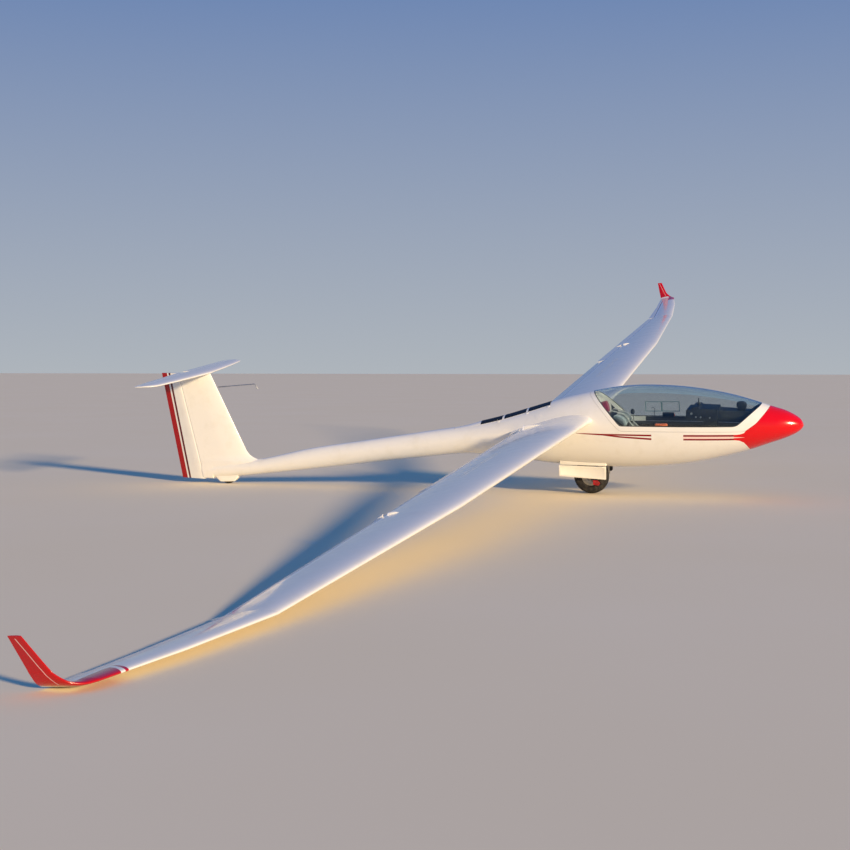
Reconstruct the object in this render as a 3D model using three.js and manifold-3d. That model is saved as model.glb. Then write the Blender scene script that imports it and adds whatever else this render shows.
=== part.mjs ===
// Sailplane glider of the 18 m class with flaps, winglets and a folded-away sustainer engine.
// It is parked on its main and tail wheels with the right wing tip resting on the ground.
//
// Everything is modelled in the level frame of the aircraft, in millimetres: +X to the nose, +Y to
// the left wing, +Z up, with the origin on the ground under the main wheel. The last lines bank it
// until the right tip touches the ground and centre it over its own footprint.

import * as THREE from 'three';
import { mergeVertices } from 'three/addons/utils/BufferGeometryUtils.js';
import Module from 'manifold-3d';

const wasm = await Module();
wasm.setup();

// Driving dimensions
const BANK_DEG = 7.507;
const HALF_SPAN = 9000;
const PANEL_JOINT_Y = 7430;
const ROOT_RIB_Y = 450;
const INCIDENCE_DEG = 8.5;
const FIT = 0.3;
const CLEAR = 6;
const SHELL = 20;
const GLASS = 5;
const FRAME_WIDTH = 46;
const FRAME_DEEP = 18;

// Fuselage sections: station x, top z, bottom z, half width, height of the widest point (0 to 1)
const FUSELAGE = [
  [2029, 724, 704, 14, 0.5],
  [2008, 766, 672, 58, 0.5],
  [1950, 812, 630, 104, 0.48],
  [1860, 856, 588, 150, 0.47],
  [1720, 899, 538, 198, 0.46],
  [1540, 957, 474, 245, 0.46],
  [1320, 1015, 412, 283, 0.46],
  [970, 1072, 336, 313, 0.47],
  [610, 1092, 296, 320, 0.48],
  [330, 1080, 281, 314, 0.49],
  [40, 1032, 284, 292, 0.5],
  [-300, 950, 298, 252, 0.52],
  [-600, 851, 326, 210, 0.54],
  [-900, 757, 355, 172, 0.54],
  [-1250, 672, 384, 140, 0.52],
  [-1700, 601, 340, 122, 0.5],
  [-2300, 507, 268, 109, 0.5],
  [-3000, 398, 180, 92, 0.5],
  [-3600, 268, 110, 76, 0.5],
  [-3900, 240, 76, 66, 0.5],
  [-4180, 205, 55, 52, 0.5],
];
const FUSELAGE_SIDES = 32;

// Wing sections: span y, leading edge x and z, chord, thickness in parts of the chord
const WING = [
  [150, 56, 766, 785, 0.14],
  [ROOT_RIB_Y, 54, 779, 773, 0.14],
  [2500, 32, 863, 692, 0.135],
  [4700, 10, 953.5, 600, 0.13],
  [PANEL_JOINT_Y, -138, 1049, 365, 0.125],
];
const TIP = [
  [PANEL_JOINT_Y, -138, 1049, 365, 0.125],
  [8250, -205, 1141, 285, 0.12],
  [8820, -290, 1201, 215, 0.115],
];
// Winglet sections: span y, leading edge x and z, chord, thickness, lean of the section in degrees
const WINGLET = [
  [8820, -290, 1201, 215, 0.115, 0],
  [8875, -318, 1205, 190, 0.115, 12],
  [8915, -360, 1220, 154, 0.11, 40],
  [8938, -406, 1254, 118, 0.105, 64],
  [8950, -434, 1289, 100, 0.1, 70],
  [HALF_SPAN, -505, 1426, 62, 0.09, 72],
];
// Swell of the wing root into the fuselage: span y, growth of the section's height, added chord
const FILLET = [
  [150, 2.7, 90],
  [215, 2.0, 62],
  [265, 1.5, 36],
  [330, 1.18, 16],
  [400, 1.04, 5],
  [ROOT_RIB_Y, 1, 0],
];
const CAMBER = 0.022;
const BASE_THICK = 0.14;

// The hinge line of the trailing edge surfaces: x at three places along the span
const HINGE_ROOT = [-600, ROOT_RIB_Y];
const HINGE_JOINT = [-428, PANEL_JOINT_Y];
const HINGE_TIP = [-466, 8820];
// Trailing edge surfaces: name, from y, to y, hinge line start and end, and how far each side's
// trailing edge is up as parked, in degrees, left and right
const SURFACES = [
  ['flap', 470, 3740, HINGE_ROOT, HINGE_JOINT, -3, -8],
  ['aileron', 3746, 7415, HINGE_ROOT, HINGE_JOINT, 6, -13],
  ['tip_aileron', 7446, 8640, HINGE_JOINT, HINGE_TIP, 6, -13],
];

// Covers over the drives of the flap and the aileron, at these span positions. Each is in two
// parts, one on the wing and one on the surface: mm behind the hinge, half width, height
const COVER_Y = { flap: 560, aileron: 4860 };
const WING_COVER = [[-106, 2, 1], [-82, 10, 11], [-54, 15, 17], [-31, 16, 19]];
const SURFACE_COVER = [[2, 16, 19], [26, 16, 16], [52, 11, 10], [80, 2, 1]];
const BRAKE = { from: 2340, to: 3540, back: 0.56, blade: 62, thick: 5 };

const MAIN_WHEEL = { radius: 175, width: 126, crown: 60 };
const TAIL_WHEEL = { x: -3958, radius: 100, width: 50, crown: 24 };
const WHEEL_BAY = { front: 176, rear: -300, half: 130, top: 430 };
const ENGINE_BAY = { front: -380, rear: -1385, halfFront: 104, halfRear: 60, floor: 452 };

// The rudder hinge line and the outline of the fin in the plane of symmetry
const RUDDER_HINGE = [[-4240, 40], [-4478, 1200]];
const FIN = { rootFrontX: -3580, frontX: -3700, frontZ: 300, topFrontX: -4098, topZ: 1198 };
const FIN_THICK = [88, 58];
const RUDDER = { bottomZ: 52, topZ: 1200, bottomRear: -4503, topRear: -4670 };

// Tailplane: span y, leading edge x, chord, and the height of its chord plane
const TAILPLANE = [
  [0, -4085, 385],
  [500, -4128, 325],
  [960, -4190, 246],
  [1040, -4235, 190],
  [1075, -4315, 100],
];
const TAILPLANE_Z = 1203;
const TAILPLANE_THICK = 0.11;
const ELEVATOR_HINGE_X = -4368;
const ELEVATOR_SPAN = [70, 968];

// Finishes
const paint = (color, roughness, metalness = 0) =>
  new THREE.MeshStandardMaterial({ color, roughness, metalness });
const finish = {
  gelcoat: paint(0xf2f1ea, 0.22),
  red: paint(0x9c0d10, 0.25),
  glass: paint(0xb9cfd6, 0.05),
  dark: paint(0x1b1d20, 0.6),
  interior: paint(0xb8b6ae, 0.7),
  maroon: paint(0x5a1624, 0.9),
  rubber: paint(0x17171a, 0.85),
  alloy: paint(0xa9adb2, 0.35, 1),
  steel: paint(0x70747a, 0.4, 1),
};

// The number that lies t of the way from a to b
const mix = (a, b, t) => a + (b - a) * t;

// One row of a table at a value of its first column, between the rows on each side
function rowAt(table, value) {
  const rising = table[1][0] > table[0][0];
  let i = 1;
  while (i < table.length - 1 && (rising ? table[i][0] < value : table[i][0] > value)) i += 1;
  const [low, high] = [table[i - 1], table[i]];
  const t = (value - low[0]) / (high[0] - low[0]);
  return low.map((number, column) => mix(number, high[column], t));
}

// A closed body through rings of points, with flat ends
function loft(rings) {
  const count = rings[0].length;
  const points = rings.flat();
  const faces = [];
  for (let r = 0; r < rings.length - 1; r += 1) {
    for (let i = 0; i < count; i += 1) {
      const a = r * count + i;
      const b = r * count + (i + 1) % count;
      faces.push(a, b, b + count, a, b + count, a + count);
    }
  }
  for (const [r, flip] of [[0, true], [rings.length - 1, false]]) {
    const centre = new THREE.Vector3();
    rings[r].forEach((p) => centre.addScaledVector(p, 1 / count));
    points.push(centre);
    for (let i = 0; i < count; i += 1) {
      const a = r * count + i;
      const b = r * count + (i + 1) % count;
      faces.push(...(flip ? [b, a, points.length - 1] : [a, b, points.length - 1]));
    }
  }
  const geometry = new THREE.BufferGeometry().setFromPoints(points);
  geometry.setIndex(faces);
  return facingOut(geometry);
}

// A geometry with only its positions, each shared by the faces that meet there
function welded(geometry) {
  const bare = new THREE.BufferGeometry();
  bare.setAttribute('position', geometry.getAttribute('position').clone());
  if (geometry.getIndex()) bare.setIndex(geometry.getIndex().clone());
  return mergeVertices(bare, 1e-3);
}

// A closed body whose faces look outwards, turned round where its volume comes out negative
function facingOut(loose) {
  const geometry = welded(loose);
  const index = geometry.getIndex().array;
  const position = geometry.getAttribute('position');
  const [a, b, c] = [new THREE.Vector3(), new THREE.Vector3(), new THREE.Vector3()];
  let volume = 0;
  for (let i = 0; i < index.length; i += 3) {
    a.fromBufferAttribute(position, index[i]);
    b.fromBufferAttribute(position, index[i + 1]);
    c.fromBufferAttribute(position, index[i + 2]);
    volume += a.dot(b.cross(c));
  }
  if (volume < 0) {
    for (let i = 0; i < index.length; i += 3) {
      [index[i], index[i + 1]] = [index[i + 1], index[i]];
    }
  }
  return geometry;
}

// A geometry as a solid that can be cut and joined
function solid(geometry) {
  const bare = welded(geometry);
  return new wasm.Manifold(new wasm.Mesh({
    numProp: 3,
    vertProperties: new Float32Array(bare.getAttribute('position').array),
    triVerts: new Uint32Array(bare.getIndex().array),
  }));
}

// A solid back as a geometry
function shape(body) {
  const mesh = body.getMesh();
  const geometry = new THREE.BufferGeometry();
  geometry.setAttribute('position', new THREE.BufferAttribute(mesh.vertProperties, 3));
  geometry.setIndex(new THREE.BufferAttribute(mesh.triVerts, 1));
  return geometry;
}

// A box between two corners
function block(low, high) {
  const size = high.map((v, i) => v - low[i]);
  const box = new THREE.BoxGeometry(...size);
  return box.translate(...low.map((v, i) => v + size[i] / 2));
}

// An outline of x and z points made thick along y, from y0 to y1
function slab(outline, y0, y1) {
  const flat = new THREE.Shape(outline.map(([x, z]) => new THREE.Vector2(x, z)));
  const body = new THREE.ExtrudeGeometry(flat, { depth: y1 - y0, bevelEnabled: false });
  return body.rotateX(Math.PI / 2).translate(0, y1, 0);
}

// A rod between two points
function rod(from, to, radius, sides = 12) {
  const [a, b] = [new THREE.Vector3(...from), new THREE.Vector3(...to)];
  const along = b.clone().sub(a);
  const body = new THREE.CylinderGeometry(radius, radius, along.length(), sides);
  const turn = new THREE.Quaternion().setFromUnitVectors(new THREE.Vector3(0, 1, 0), along.normalize());
  return body.applyQuaternion(turn).translate(...a.add(b).multiplyScalar(0.5).toArray());
}

// The same body on the other side of the plane of symmetry
function mirrored(geometry) {
  return facingOut(geometry.clone().applyMatrix4(new THREE.Matrix4().makeScale(1, -1, 1)));
}

const airframe = new THREE.Group();
function add(name, material, geometry) {
  const mesh = new THREE.Mesh(geometry, material);
  mesh.name = name;
  airframe.add(mesh);
}
function addPair(name, material, leftGeometry) {
  add(`${name}_left`, material, leftGeometry);
  add(`${name}_right`, material, mirrored(leftGeometry));
}

// Fuselage skin: one ring for a station, drawn in or out by an offset
function fuselageRing(x, offset) {
  const [, top, bottom, half, widest] = rowAt(FUSELAGE, x);
  const middle = mix(bottom, top, widest);
  const ring = [];
  for (let i = 0; i < FUSELAGE_SIDES; i += 1) {
    const angle = (i / FUSELAGE_SIDES) * 2 * Math.PI;
    const rise = Math.sin(angle);
    const reach = rise > 0 ? top + offset - middle : middle - bottom + offset;
    ring.push(new THREE.Vector3(x, (half + offset) * Math.cos(angle), middle + reach * rise));
  }
  return ring;
}
function fuselageLoft(offset, front = Infinity, rear = -Infinity) {
  const stations = FUSELAGE.map((row) => row[0]).filter((x) => x < front && x > rear);
  if (front < Infinity) stations.unshift(front);
  if (rear > -Infinity) stations.push(rear);
  return loft(stations.map((x) => fuselageRing(x, offset)));
}

// Half the thickness of a symmetric section, in parts of its chord
function halfThick(part, thick) {
  return 5 * thick * (0.2969 * Math.sqrt(part) - 0.126 * part - 0.3516 * part ** 2
    + 0.2843 * part ** 3 - 0.1015 * part ** 4);
}
// Heights of the wing's section, its thickness on each side of a curved mean line
function airfoilAt(part, thick) {
  const scale = thick / BASE_THICK;
  const mean = 4 * CAMBER * part * (1 - part) * scale;
  const half = halfThick(part, thick);
  return { top: mean + half, bottom: mean - half, mean };
}
const NOSE_STEPS = [0, 0.02, 0.07, 0.16, 0.3, 0.46, 0.62];

// A point of a wing section, from parts of the chord to the level frame
function wingPoint(row, part, height) {
  const [y, x, z, chord, , lean = 0] = row;
  const tilt = THREE.MathUtils.degToRad(INCIDENCE_DEG * Math.cos(THREE.MathUtils.degToRad(lean)));
  const back = part * chord * Math.cos(tilt) - height * chord * Math.sin(tilt);
  const up = height * chord * Math.cos(tilt);
  const leanBy = THREE.MathUtils.degToRad(lean);
  const drop = part * chord * Math.sin(tilt);
  return new THREE.Vector3(x - back, y - up * Math.sin(leanBy), z + up * Math.cos(leanBy) - drop);
}

// The ring of a whole section, or of its part ahead of a cut
function wingRing(row, cut = 1) {
  const thick = row[4];
  const steps = [...NOSE_STEPS.filter((s) => s < cut - 0.05), cut];
  const above = steps.map((s) => wingPoint(row, s, airfoilAt(s, thick).top));
  const below = steps.slice(1).reverse().map((s) => wingPoint(row, s, airfoilAt(s, thick).bottom));
  return [...above, ...below];
}

// Where a hinge line crosses a section: its part of the chord, height, and the nose radius there
function hingeAt(row, start, end) {
  const t = (row[0] - start[1]) / (end[1] - start[1]);
  const tilt = THREE.MathUtils.degToRad(INCIDENCE_DEG);
  const part = (row[1] - mix(start[0], end[0], t)) / (row[3] * Math.cos(tilt));
  return { part, height: airfoilAt(part, row[4]).mean, radius: halfThick(part, row[4]) };
}

// A half circle of points about a hinge, from above it round the front to below it
const NOSE_ANGLES = [90, 120, 150, 180, 210, 240, 270].map((a) => THREE.MathUtils.degToRad(a));
function nose(radius) {
  return NOSE_ANGLES.map((angle) => [radius * Math.cos(angle), radius * Math.sin(angle)]);
}

// The ring of a trailing edge surface: a round nose about the hinge, then the tail of the
// airfoil, all turned about the hinge by the parked angle
function surfaceRing(row, start, end, parkedDeg) {
  const { part, height, radius } = hingeAt(row, start, end);
  const edge = airfoilAt(1, row[4]);
  const outline = [...nose(radius), [1 - part, edge.bottom - height], [1 - part, edge.top - height]];
  const turn = THREE.MathUtils.degToRad(parkedDeg);
  return outline.map(([s, h]) => wingPoint(row,
    part + s * Math.cos(turn) - h * Math.sin(turn), height + s * Math.sin(turn) + h * Math.cos(turn)));
}

// The space that a surface turns in: the same round nose with room about it, open to the rear
function coveRing(row, start, end) {
  const { part, height, radius } = hingeAt(row, start, end);
  const room = radius + CLEAR / row[3];
  return [...nose(room), [1.3 - part, -room], [1.3 - part, room]].map(([s, h]) =>
    wingPoint(row, part + s, height + h));
}

// Rows of a table from y0 to y1, with a row made at each end
function span(table, y0, y1) {
  const inner = table.filter((row) => row[0] > y0 + 1 && row[0] < y1 - 1);
  return [rowAt(table, y0), ...inner, rowAt(table, y1)];
}

// A wing panel with coves cut for its surfaces
function panel(table, y0, y1, surfaces) {
  let body = solid(loft(span(table, y0, y1).map((row) => wingRing(row))));
  for (const [, from, to, start, end] of surfaces) {
    const rows = span(table, from - CLEAR, to + CLEAR);
    body = body.subtract(solid(loft(rows.map((row) => coveRing(row, start, end)))));
  }
  return body;
}

// Airbrakes: two blades that rise one out of the other from a slot, under a cap in the wing's skin
function brakeFrame() {
  const [inner, outer] = [BRAKE.from, BRAKE.to].map((y) => rowAt(WING, y));
  const ends = [inner, outer].map((row) => wingPoint(row, BRAKE.back, airfoilAt(BRAKE.back, row[4]).top));
  const along = ends[1].clone().sub(ends[0]);
  const tilt = THREE.MathUtils.degToRad(INCIDENCE_DEG);
  const back = new THREE.Vector3(-Math.cos(tilt), 0, -Math.sin(tilt));
  const up = along.clone().cross(back).normalize();
  const across = up.clone().cross(along).normalize();
  const middle = ends[0].clone().add(ends[1]).multiplyScalar(0.5);
  return { length: along.length(), along: along.normalize(), across, up, middle };
}
const brakes = brakeFrame();
function brakeBlock(low, high) {
  const basis = new THREE.Matrix4().makeBasis(brakes.along, brakes.across, brakes.up);
  return block(low, high).applyMatrix4(basis.setPosition(brakes.middle));
}
function brakeSlot() {
  const half = brakes.length / 2 + CLEAR;
  return solid(brakeBlock([-half, -22, -BRAKE.blade - 8], [half, 22, 40]));
}

// One part of a drive cover, standing on the wing's skin or on a surface turned to its parked angle
function driveCover(y, steps, parkedDeg = 0) {
  const row = rowAt(WING, y);
  const { part, height, radius } = hingeAt(row, HINGE_ROOT, HINGE_JOINT);
  const turn = THREE.MathUtils.degToRad(parkedDeg);
  const place = (s, h) => wingPoint(row,
    part + s * Math.cos(turn) - h * Math.sin(turn), height + s * Math.sin(turn) + h * Math.cos(turn));
  return solid(loft(steps.map(([back, half, rise]) => {
    const s = back / row[3];
    const skin = s < 0 ? airfoilAt(part + s, row[4]).top - height : mix(radius, 0, s / (1 - part));
    const base = place(s, skin * 0.7);
    const crest = place(s, skin + rise / row[3]);
    return [[base, -half], [crest, -half / 2], [crest, half / 2], [base, half]].map(([p, side]) =>
      new THREE.Vector3(p.x, p.y + side, p.z));
  })));
}

// Inner wing panels with their surfaces, then the outer panels and winglets
let wing = panel(WING, ROOT_RIB_Y + FIT, PANEL_JOINT_Y - FIT, SURFACES.slice(0, 2));
wing = wing.subtract(brakeSlot());
for (const y of Object.values(COVER_Y)) wing = wing.add(driveCover(y, WING_COVER));
addPair('wing', finish.gelcoat, shape(wing));
addPair('wing_tip', finish.gelcoat, shape(panel(TIP, PANEL_JOINT_Y + FIT, 8820 - FIT, SURFACES.slice(2))));
addPair('winglet', finish.red, loft(WINGLET.map((row) => wingRing(row))));
function surface([name, from, to, start, end], parkedDeg) {
  const rows = span(name === 'tip_aileron' ? TIP : WING, from, to);
  const body = solid(loft(rows.map((row) => surfaceRing(row, start, end, parkedDeg))));
  const y = COVER_Y[name];
  return shape(y ? body.add(driveCover(y, SURFACE_COVER, parkedDeg)) : body);
}
for (const row of SURFACES) {
  const [name, , , , , leftUp, rightUp] = row;
  add(`${name}_left`, finish.gelcoat, surface(row, leftUp));
  add(`${name}_right`, finish.gelcoat, mirrored(surface(row, rightUp)));
}

const bladeHalf = brakes.length / 2;
const capBlock = solid(brakeBlock([-bladeHalf, -16, -4], [bladeHalf, 16, 0]));
const upperBlade = solid(brakeBlock(
  [-bladeHalf + 2, 4, -BRAKE.blade], [bladeHalf - 2, 4 + BRAKE.thick, -3]));
addPair('airbrake_upper', finish.gelcoat, shape(capBlock.add(upperBlade)));
const lowerBlade = brakeBlock(
  [-bladeHalf + 2, -4 - BRAKE.thick, -BRAKE.blade], [bladeHalf - 2, -4, -CLEAR - 4]);
addPair('airbrake_lower', finish.alloy, lowerBlade);

// Canopy and cockpit cuts, drawn in side view
const SILL_Z = 684;
const canopyCut = [
  [0, 1200], [6, 1008], [126, 881], [227, 752], [300, SILL_Z], [1505, SILL_Z], [1610, 760],
  [1735, 905], [1760, 1200],
];
// An outline with each of its edges moved inwards
function drawnIn(outline, distance) {
  const count = outline.length;
  const edges = outline.map(([x, z], i) => {
    const [nextX, nextZ] = outline[(i + 1) % count];
    const length = Math.hypot(nextX - x, nextZ - z);
    const [alongX, alongZ] = [(nextX - x) / length, (nextZ - z) / length];
    return { x: x - alongZ * distance, z: z + alongX * distance, alongX, alongZ };
  });
  return edges.map((edge, i) => {
    const last = edges[(i + count - 1) % count];
    const turn = last.alongX * edge.alongZ - last.alongZ * edge.alongX;
    const reach = ((edge.x - last.x) * edge.alongZ - (edge.z - last.z) * edge.alongX) / turn;
    return [last.x + last.alongX * reach, last.z + last.alongZ * reach];
  });
}
const cockpitSpace = [
  [1840, 200], [1840, 1200], [30, 1200], [30, 985], [360, 300], [360, 200],
];

const wide = 500;
const skin = solid(fuselageLoft(0));
const inner = solid(fuselageLoft(-SHELL, 1850, -100));
const canopyBlock = solid(slab(canopyCut, -wide, wide));
const frameBlock = solid(slab(drawnIn(canopyCut, 5), -wide, wide));
const windowBlock = solid(slab(drawnIn(canopyCut, FRAME_WIDTH), -wide, wide));
const paneBlock = solid(slab(drawnIn(canopyCut, FRAME_WIDTH + FIT), -wide, wide));
const cockpitBlock = solid(slab(cockpitSpace, -wide, wide));

// Fin, part of the fuselage moulding, with the rudder hinged behind it
function finRing(frontX, rearX, z, thick) {
  const chord = frontX - rearX;
  const steps = [0, 0.03, 0.12, 0.3, 0.6, 1];
  const half = (s) => thick * 0.5 * Math.min(1, 1.35 * Math.sqrt(s / 0.45) - 0.35 * (s / 0.45));
  const left = steps.map((s) => new THREE.Vector3(frontX - s * chord, half(Math.min(s, 0.45)), z));
  const right = steps.slice(1).reverse().map((s) =>
    new THREE.Vector3(frontX - s * chord, -half(Math.min(s, 0.45)), z));
  return [...left, ...right];
}
function hingeX(z) {
  const [[x0, z0], [x1, z1]] = RUDDER_HINGE;
  return mix(x0, x1, (z - z0) / (z1 - z0));
}
const finThickAt = (z) => mix(FIN_THICK[0], FIN_THICK[1], z / FIN.topZ);
const fin = loft([
  [FIN.rootFrontX, 180],
  [FIN.rootFrontX - 60, 262],
  [FIN.frontX, FIN.frontZ + 20],
  [FIN.topFrontX, FIN.topZ],
].map(([front, z]) => finRing(front, hingeX(z), z, finThickAt(z))));

let hull = skin.add(solid(fin));
const stub = loft(FILLET.map(([y, swell, reach]) => {
  const [, x, z, chord, thick] = rowAt(WING, y);
  return wingRing([y, x + reach * 0.4, z, chord + reach, thick * swell]);
}));
hull = hull.add(solid(stub)).add(solid(mirrored(stub)));
hull = hull.subtract(inner.intersect(cockpitBlock)).subtract(canopyBlock);
const bay = WHEEL_BAY;
hull = hull.subtract(solid(block([bay.rear, -bay.half, 200], [bay.front, bay.half, bay.top])));
const engineBay = ENGINE_BAY;
const engineOutline = (inset) => [
  [engineBay.front - inset, engineBay.halfFront - inset],
  [engineBay.rear + inset, engineBay.halfRear - inset],
  [engineBay.rear + inset, -engineBay.halfRear + inset],
  [engineBay.front - inset, -engineBay.halfFront + inset],
];
function column(outline, z0, z1) {
  const flat = new THREE.Shape(outline.map(([x, y]) => new THREE.Vector2(x, y)));
  return new THREE.ExtrudeGeometry(flat, { depth: z1 - z0, bevelEnabled: false }).translate(0, 0, z0);
}
hull = hull.subtract(solid(column(engineOutline(0), engineBay.floor, 1200)));
const spats = slab([
  [TAIL_WHEEL.x + 126, 130], [TAIL_WHEEL.x + 122, 62], [TAIL_WHEEL.x + 84, 26], [TAIL_WHEEL.x - 84, 20],
  [TAIL_WHEEL.x - 128, 62], [TAIL_WHEEL.x - 136, 130],
], -41, 41);
hull = hull.add(solid(spats));
const tailBay = solid(block([TAIL_WHEEL.x - 112, -32, -20], [TAIL_WHEEL.x + 112, 32, 214]));
hull = hull.subtract(tailBay);
const rudderSpace = loft([0, 1300].map((z) => {
  const room = finThickAt(z) / 2 + CLEAR + 2;
  return [...nose(room), [1000, -room], [1000, room]].map(([s, y]) =>
    new THREE.Vector3(hingeX(z) - s, y, z));
}));
hull = hull.subtract(solid(rudderSpace));
add('fuselage', finish.gelcoat, shape(hull));

// Canopy: a frame all round the opening and the clear bubble held in it
const canopyShell = skin.subtract(solid(fuselageLoft(-FRAME_DEEP, 1850, -100)));
add('canopy_frame', finish.gelcoat, shape(canopyShell.intersect(frameBlock).subtract(windowBlock)));
const bubble = skin.subtract(solid(fuselageLoft(-GLASS, 1850, -100)));
add('canopy_glass', finish.glass, shape(bubble.intersect(paneBlock)));

// Engine bay doors with dark cells along them, and the engine folded away below
const doorSkin = skin.subtract(solid(fuselageLoft(-12)));
const doorHalf = column([
  [engineBay.front - 4, 3],
  [engineBay.front - 4, engineBay.halfFront - 4],
  [engineBay.rear + 4, engineBay.halfRear - 4],
  [engineBay.rear + 4, 3],
], engineBay.floor + 60, 1200);
addPair('engine_door', finish.gelcoat, shape(doorSkin.intersect(solid(doorHalf))));
add('engine_block', finish.steel, block([-760, -74, 470], [-430, 74, 690]));

// Rudder
function rudderRing(z, rearX) {
  const thick = finThickAt(z) / 2;
  const x = hingeX(z);
  const front = nose(thick).map(([s, y]) => new THREE.Vector3(x - s, y, z));
  return [...front, new THREE.Vector3(rearX, -1.5, z), new THREE.Vector3(rearX, 1.5, z)];
}
add('rudder', finish.gelcoat, loft([
  rudderRing(RUDDER.bottomZ, RUDDER.bottomRear), rudderRing(RUDDER.topZ, RUDDER.topRear),
]));

// Tailplane on top of the fin: a fixed stabilizer and an elevator in two halves on one tube
function tailPoint([y, x, chord], part, height) {
  return new THREE.Vector3(x - part * chord, y, TAILPLANE_Z + height * chord);
}
function tailRing(row, cut = 1) {
  const steps = [...NOSE_STEPS.filter((s) => s < cut - 0.05), cut];
  const above = steps.map((s) => tailPoint(row, s, halfThick(s, TAILPLANE_THICK)));
  const below = steps.slice(1).reverse().map((s) => tailPoint(row, s, -halfThick(s, TAILPLANE_THICK)));
  return [...above, ...below];
}
function elevatorHinge(row) {
  const part = (row[1] - ELEVATOR_HINGE_X) / row[2];
  return { part, radius: halfThick(part, TAILPLANE_THICK) };
}
function elevatorRing(row) {
  const { part, radius } = elevatorHinge(row);
  const front = nose(radius).map(([s, h]) => tailPoint(row, part + s, h));
  return [...front, tailPoint(row, 1, -0.004), tailPoint(row, 1, 0.004)];
}
const leftTail = TAILPLANE.map((row) => tailRing(row));
const rightTail = TAILPLANE.slice(1).reverse().map(([y, x, chord]) => tailRing([-y, x, chord]));
let stabilizer = solid(loft([...rightTail, ...leftTail]));
for (const side of [1, -1]) {
  const rows = span(TAILPLANE, 0, ELEVATOR_SPAN[1] + CLEAR);
  const cove = loft(rows.map(([y, x, chord]) => {
    const { part, radius } = elevatorHinge([y, x, chord]);
    const room = radius + CLEAR / chord;
    return [...nose(room), [1.3 - part, -room], [1.3 - part, room]].map(([s, h]) =>
      tailPoint([y * side, x, chord], part + s, h));
  }));
  stabilizer = stabilizer.subtract(solid(cove));
}
const finTop = loft([FIN.topZ - 80, FIN.topZ + FIT].map((z) => finRing(
  mix(FIN.frontX, FIN.topFrontX, (z - FIN.frontZ - 20) / (FIN.topZ - FIN.frontZ - 20)) + FIT,
  hingeX(z) - FIT, z, finThickAt(z) + 2 * FIT)));
stabilizer = stabilizer.subtract(solid(finTop)).subtract(solid(rudderSpace));
add('stabilizer', finish.gelcoat, shape(stabilizer));
addPair('elevator', finish.gelcoat, loft(span(TAILPLANE, ...ELEVATOR_SPAN).map(elevatorRing)));

// Wheels: each a tyre on a hub, turning on a fixed axle
function tyre(radius, width, crown, bore) {
  const profile = [];
  const half = width / 2;
  profile.push(new THREE.Vector2(bore, -half * 0.7), new THREE.Vector2(bore + 8, -half));
  for (const degrees of [-60, -30, 0, 30, 60]) {
    const angle = THREE.MathUtils.degToRad(degrees);
    profile.push(new THREE.Vector2(radius - crown + crown * Math.cos(angle), half * Math.sin(angle) * 1.1));
  }
  profile.push(new THREE.Vector2(bore + 8, half), new THREE.Vector2(bore, half * 0.7));
  profile.push(profile[0].clone());
  return facingOut(new THREE.LatheGeometry(profile, 36));
}
function hub(outer, half, boreRadius) {
  const profile = [
    new THREE.Vector2(boreRadius, -half), new THREE.Vector2(outer * 0.6, -half),
    new THREE.Vector2(outer * 0.8, -half * 0.7), new THREE.Vector2(outer, -half * 0.68),
    new THREE.Vector2(outer, half * 0.68), new THREE.Vector2(outer * 0.8, half * 0.7),
    new THREE.Vector2(outer * 0.6, half), new THREE.Vector2(boreRadius, half),
    new THREE.Vector2(boreRadius, -half),
  ];
  return facingOut(new THREE.LatheGeometry(profile, 24));
}
const main = MAIN_WHEEL;
const MAIN_BORE = 66;
const AXLE = 14;
add('main_tyre', finish.rubber,
  tyre(main.radius, main.width, main.crown, MAIN_BORE).translate(0, 0, main.radius));
add('main_hub', finish.alloy,
  hub(MAIN_BORE - FIT, main.width / 2 - 6, AXLE + 0.5).translate(0, 0, main.radius));
add('main_axle', finish.steel, rod([0, -88, main.radius], [0, 88, main.radius], AXLE, 16));

// Gear legs from the bay's roof to the axle, each with its drag strut
function gearLeg() {
  const leg = solid(slab([[-26, 150], [26, 150], [40, bay.top - 1], [-46, bay.top - 1]], 74, 86));
  const eye = solid(rod([0, 74, main.radius], [0, 86, main.radius], 34, 20));
  const strut = solid(slab([[40, bay.top - 1], [0, main.radius + 20], [-12, main.radius + 34],
    [-150, bay.top - 1], [-120, bay.top - 1]], 76, 84));
  const hole = solid(rod([0, 60, main.radius], [0, 100, main.radius], AXLE + FIT, 16));
  return leg.add(eye).add(strut).subtract(hole);
}
addPair('gear_leg', finish.steel, shape(gearLeg()));

// Gear doors hanging open on each side of the bay
const DOOR = { hingeY: 122, hingeZ: 306, drop: 132, thick: 8 };
addPair('gear_door', finish.gelcoat, slab([
  [-292, DOOR.hingeZ - 8], [168, DOOR.hingeZ - 16], [166, DOOR.hingeZ - DOOR.drop],
  [-288, DOOR.hingeZ - DOOR.drop + 20],
], DOOR.hingeY - DOOR.thick / 2, DOOR.hingeY + DOOR.thick / 2));

// Tow hook under the belly
add('tow_hook', finish.steel, block([184, -14, 232], [212, 14, 281]));

// Tail wheel in its spats
const tail = TAIL_WHEEL;
const TAIL_BORE = 44;
const TAIL_AXLE = 6;
add('tail_tyre', finish.rubber,
  tyre(tail.radius, tail.width, tail.crown, TAIL_BORE).translate(tail.x, 0, tail.radius));
add('tail_hub', finish.alloy,
  hub(TAIL_BORE - FIT, tail.width / 2 - 2, TAIL_AXLE + 0.5).translate(tail.x, 0, tail.radius));
add('tail_axle', finish.steel,
  rod([tail.x, -31.5, tail.radius], [tail.x, 31.5, tail.radius], TAIL_AXLE, 12));

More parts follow.
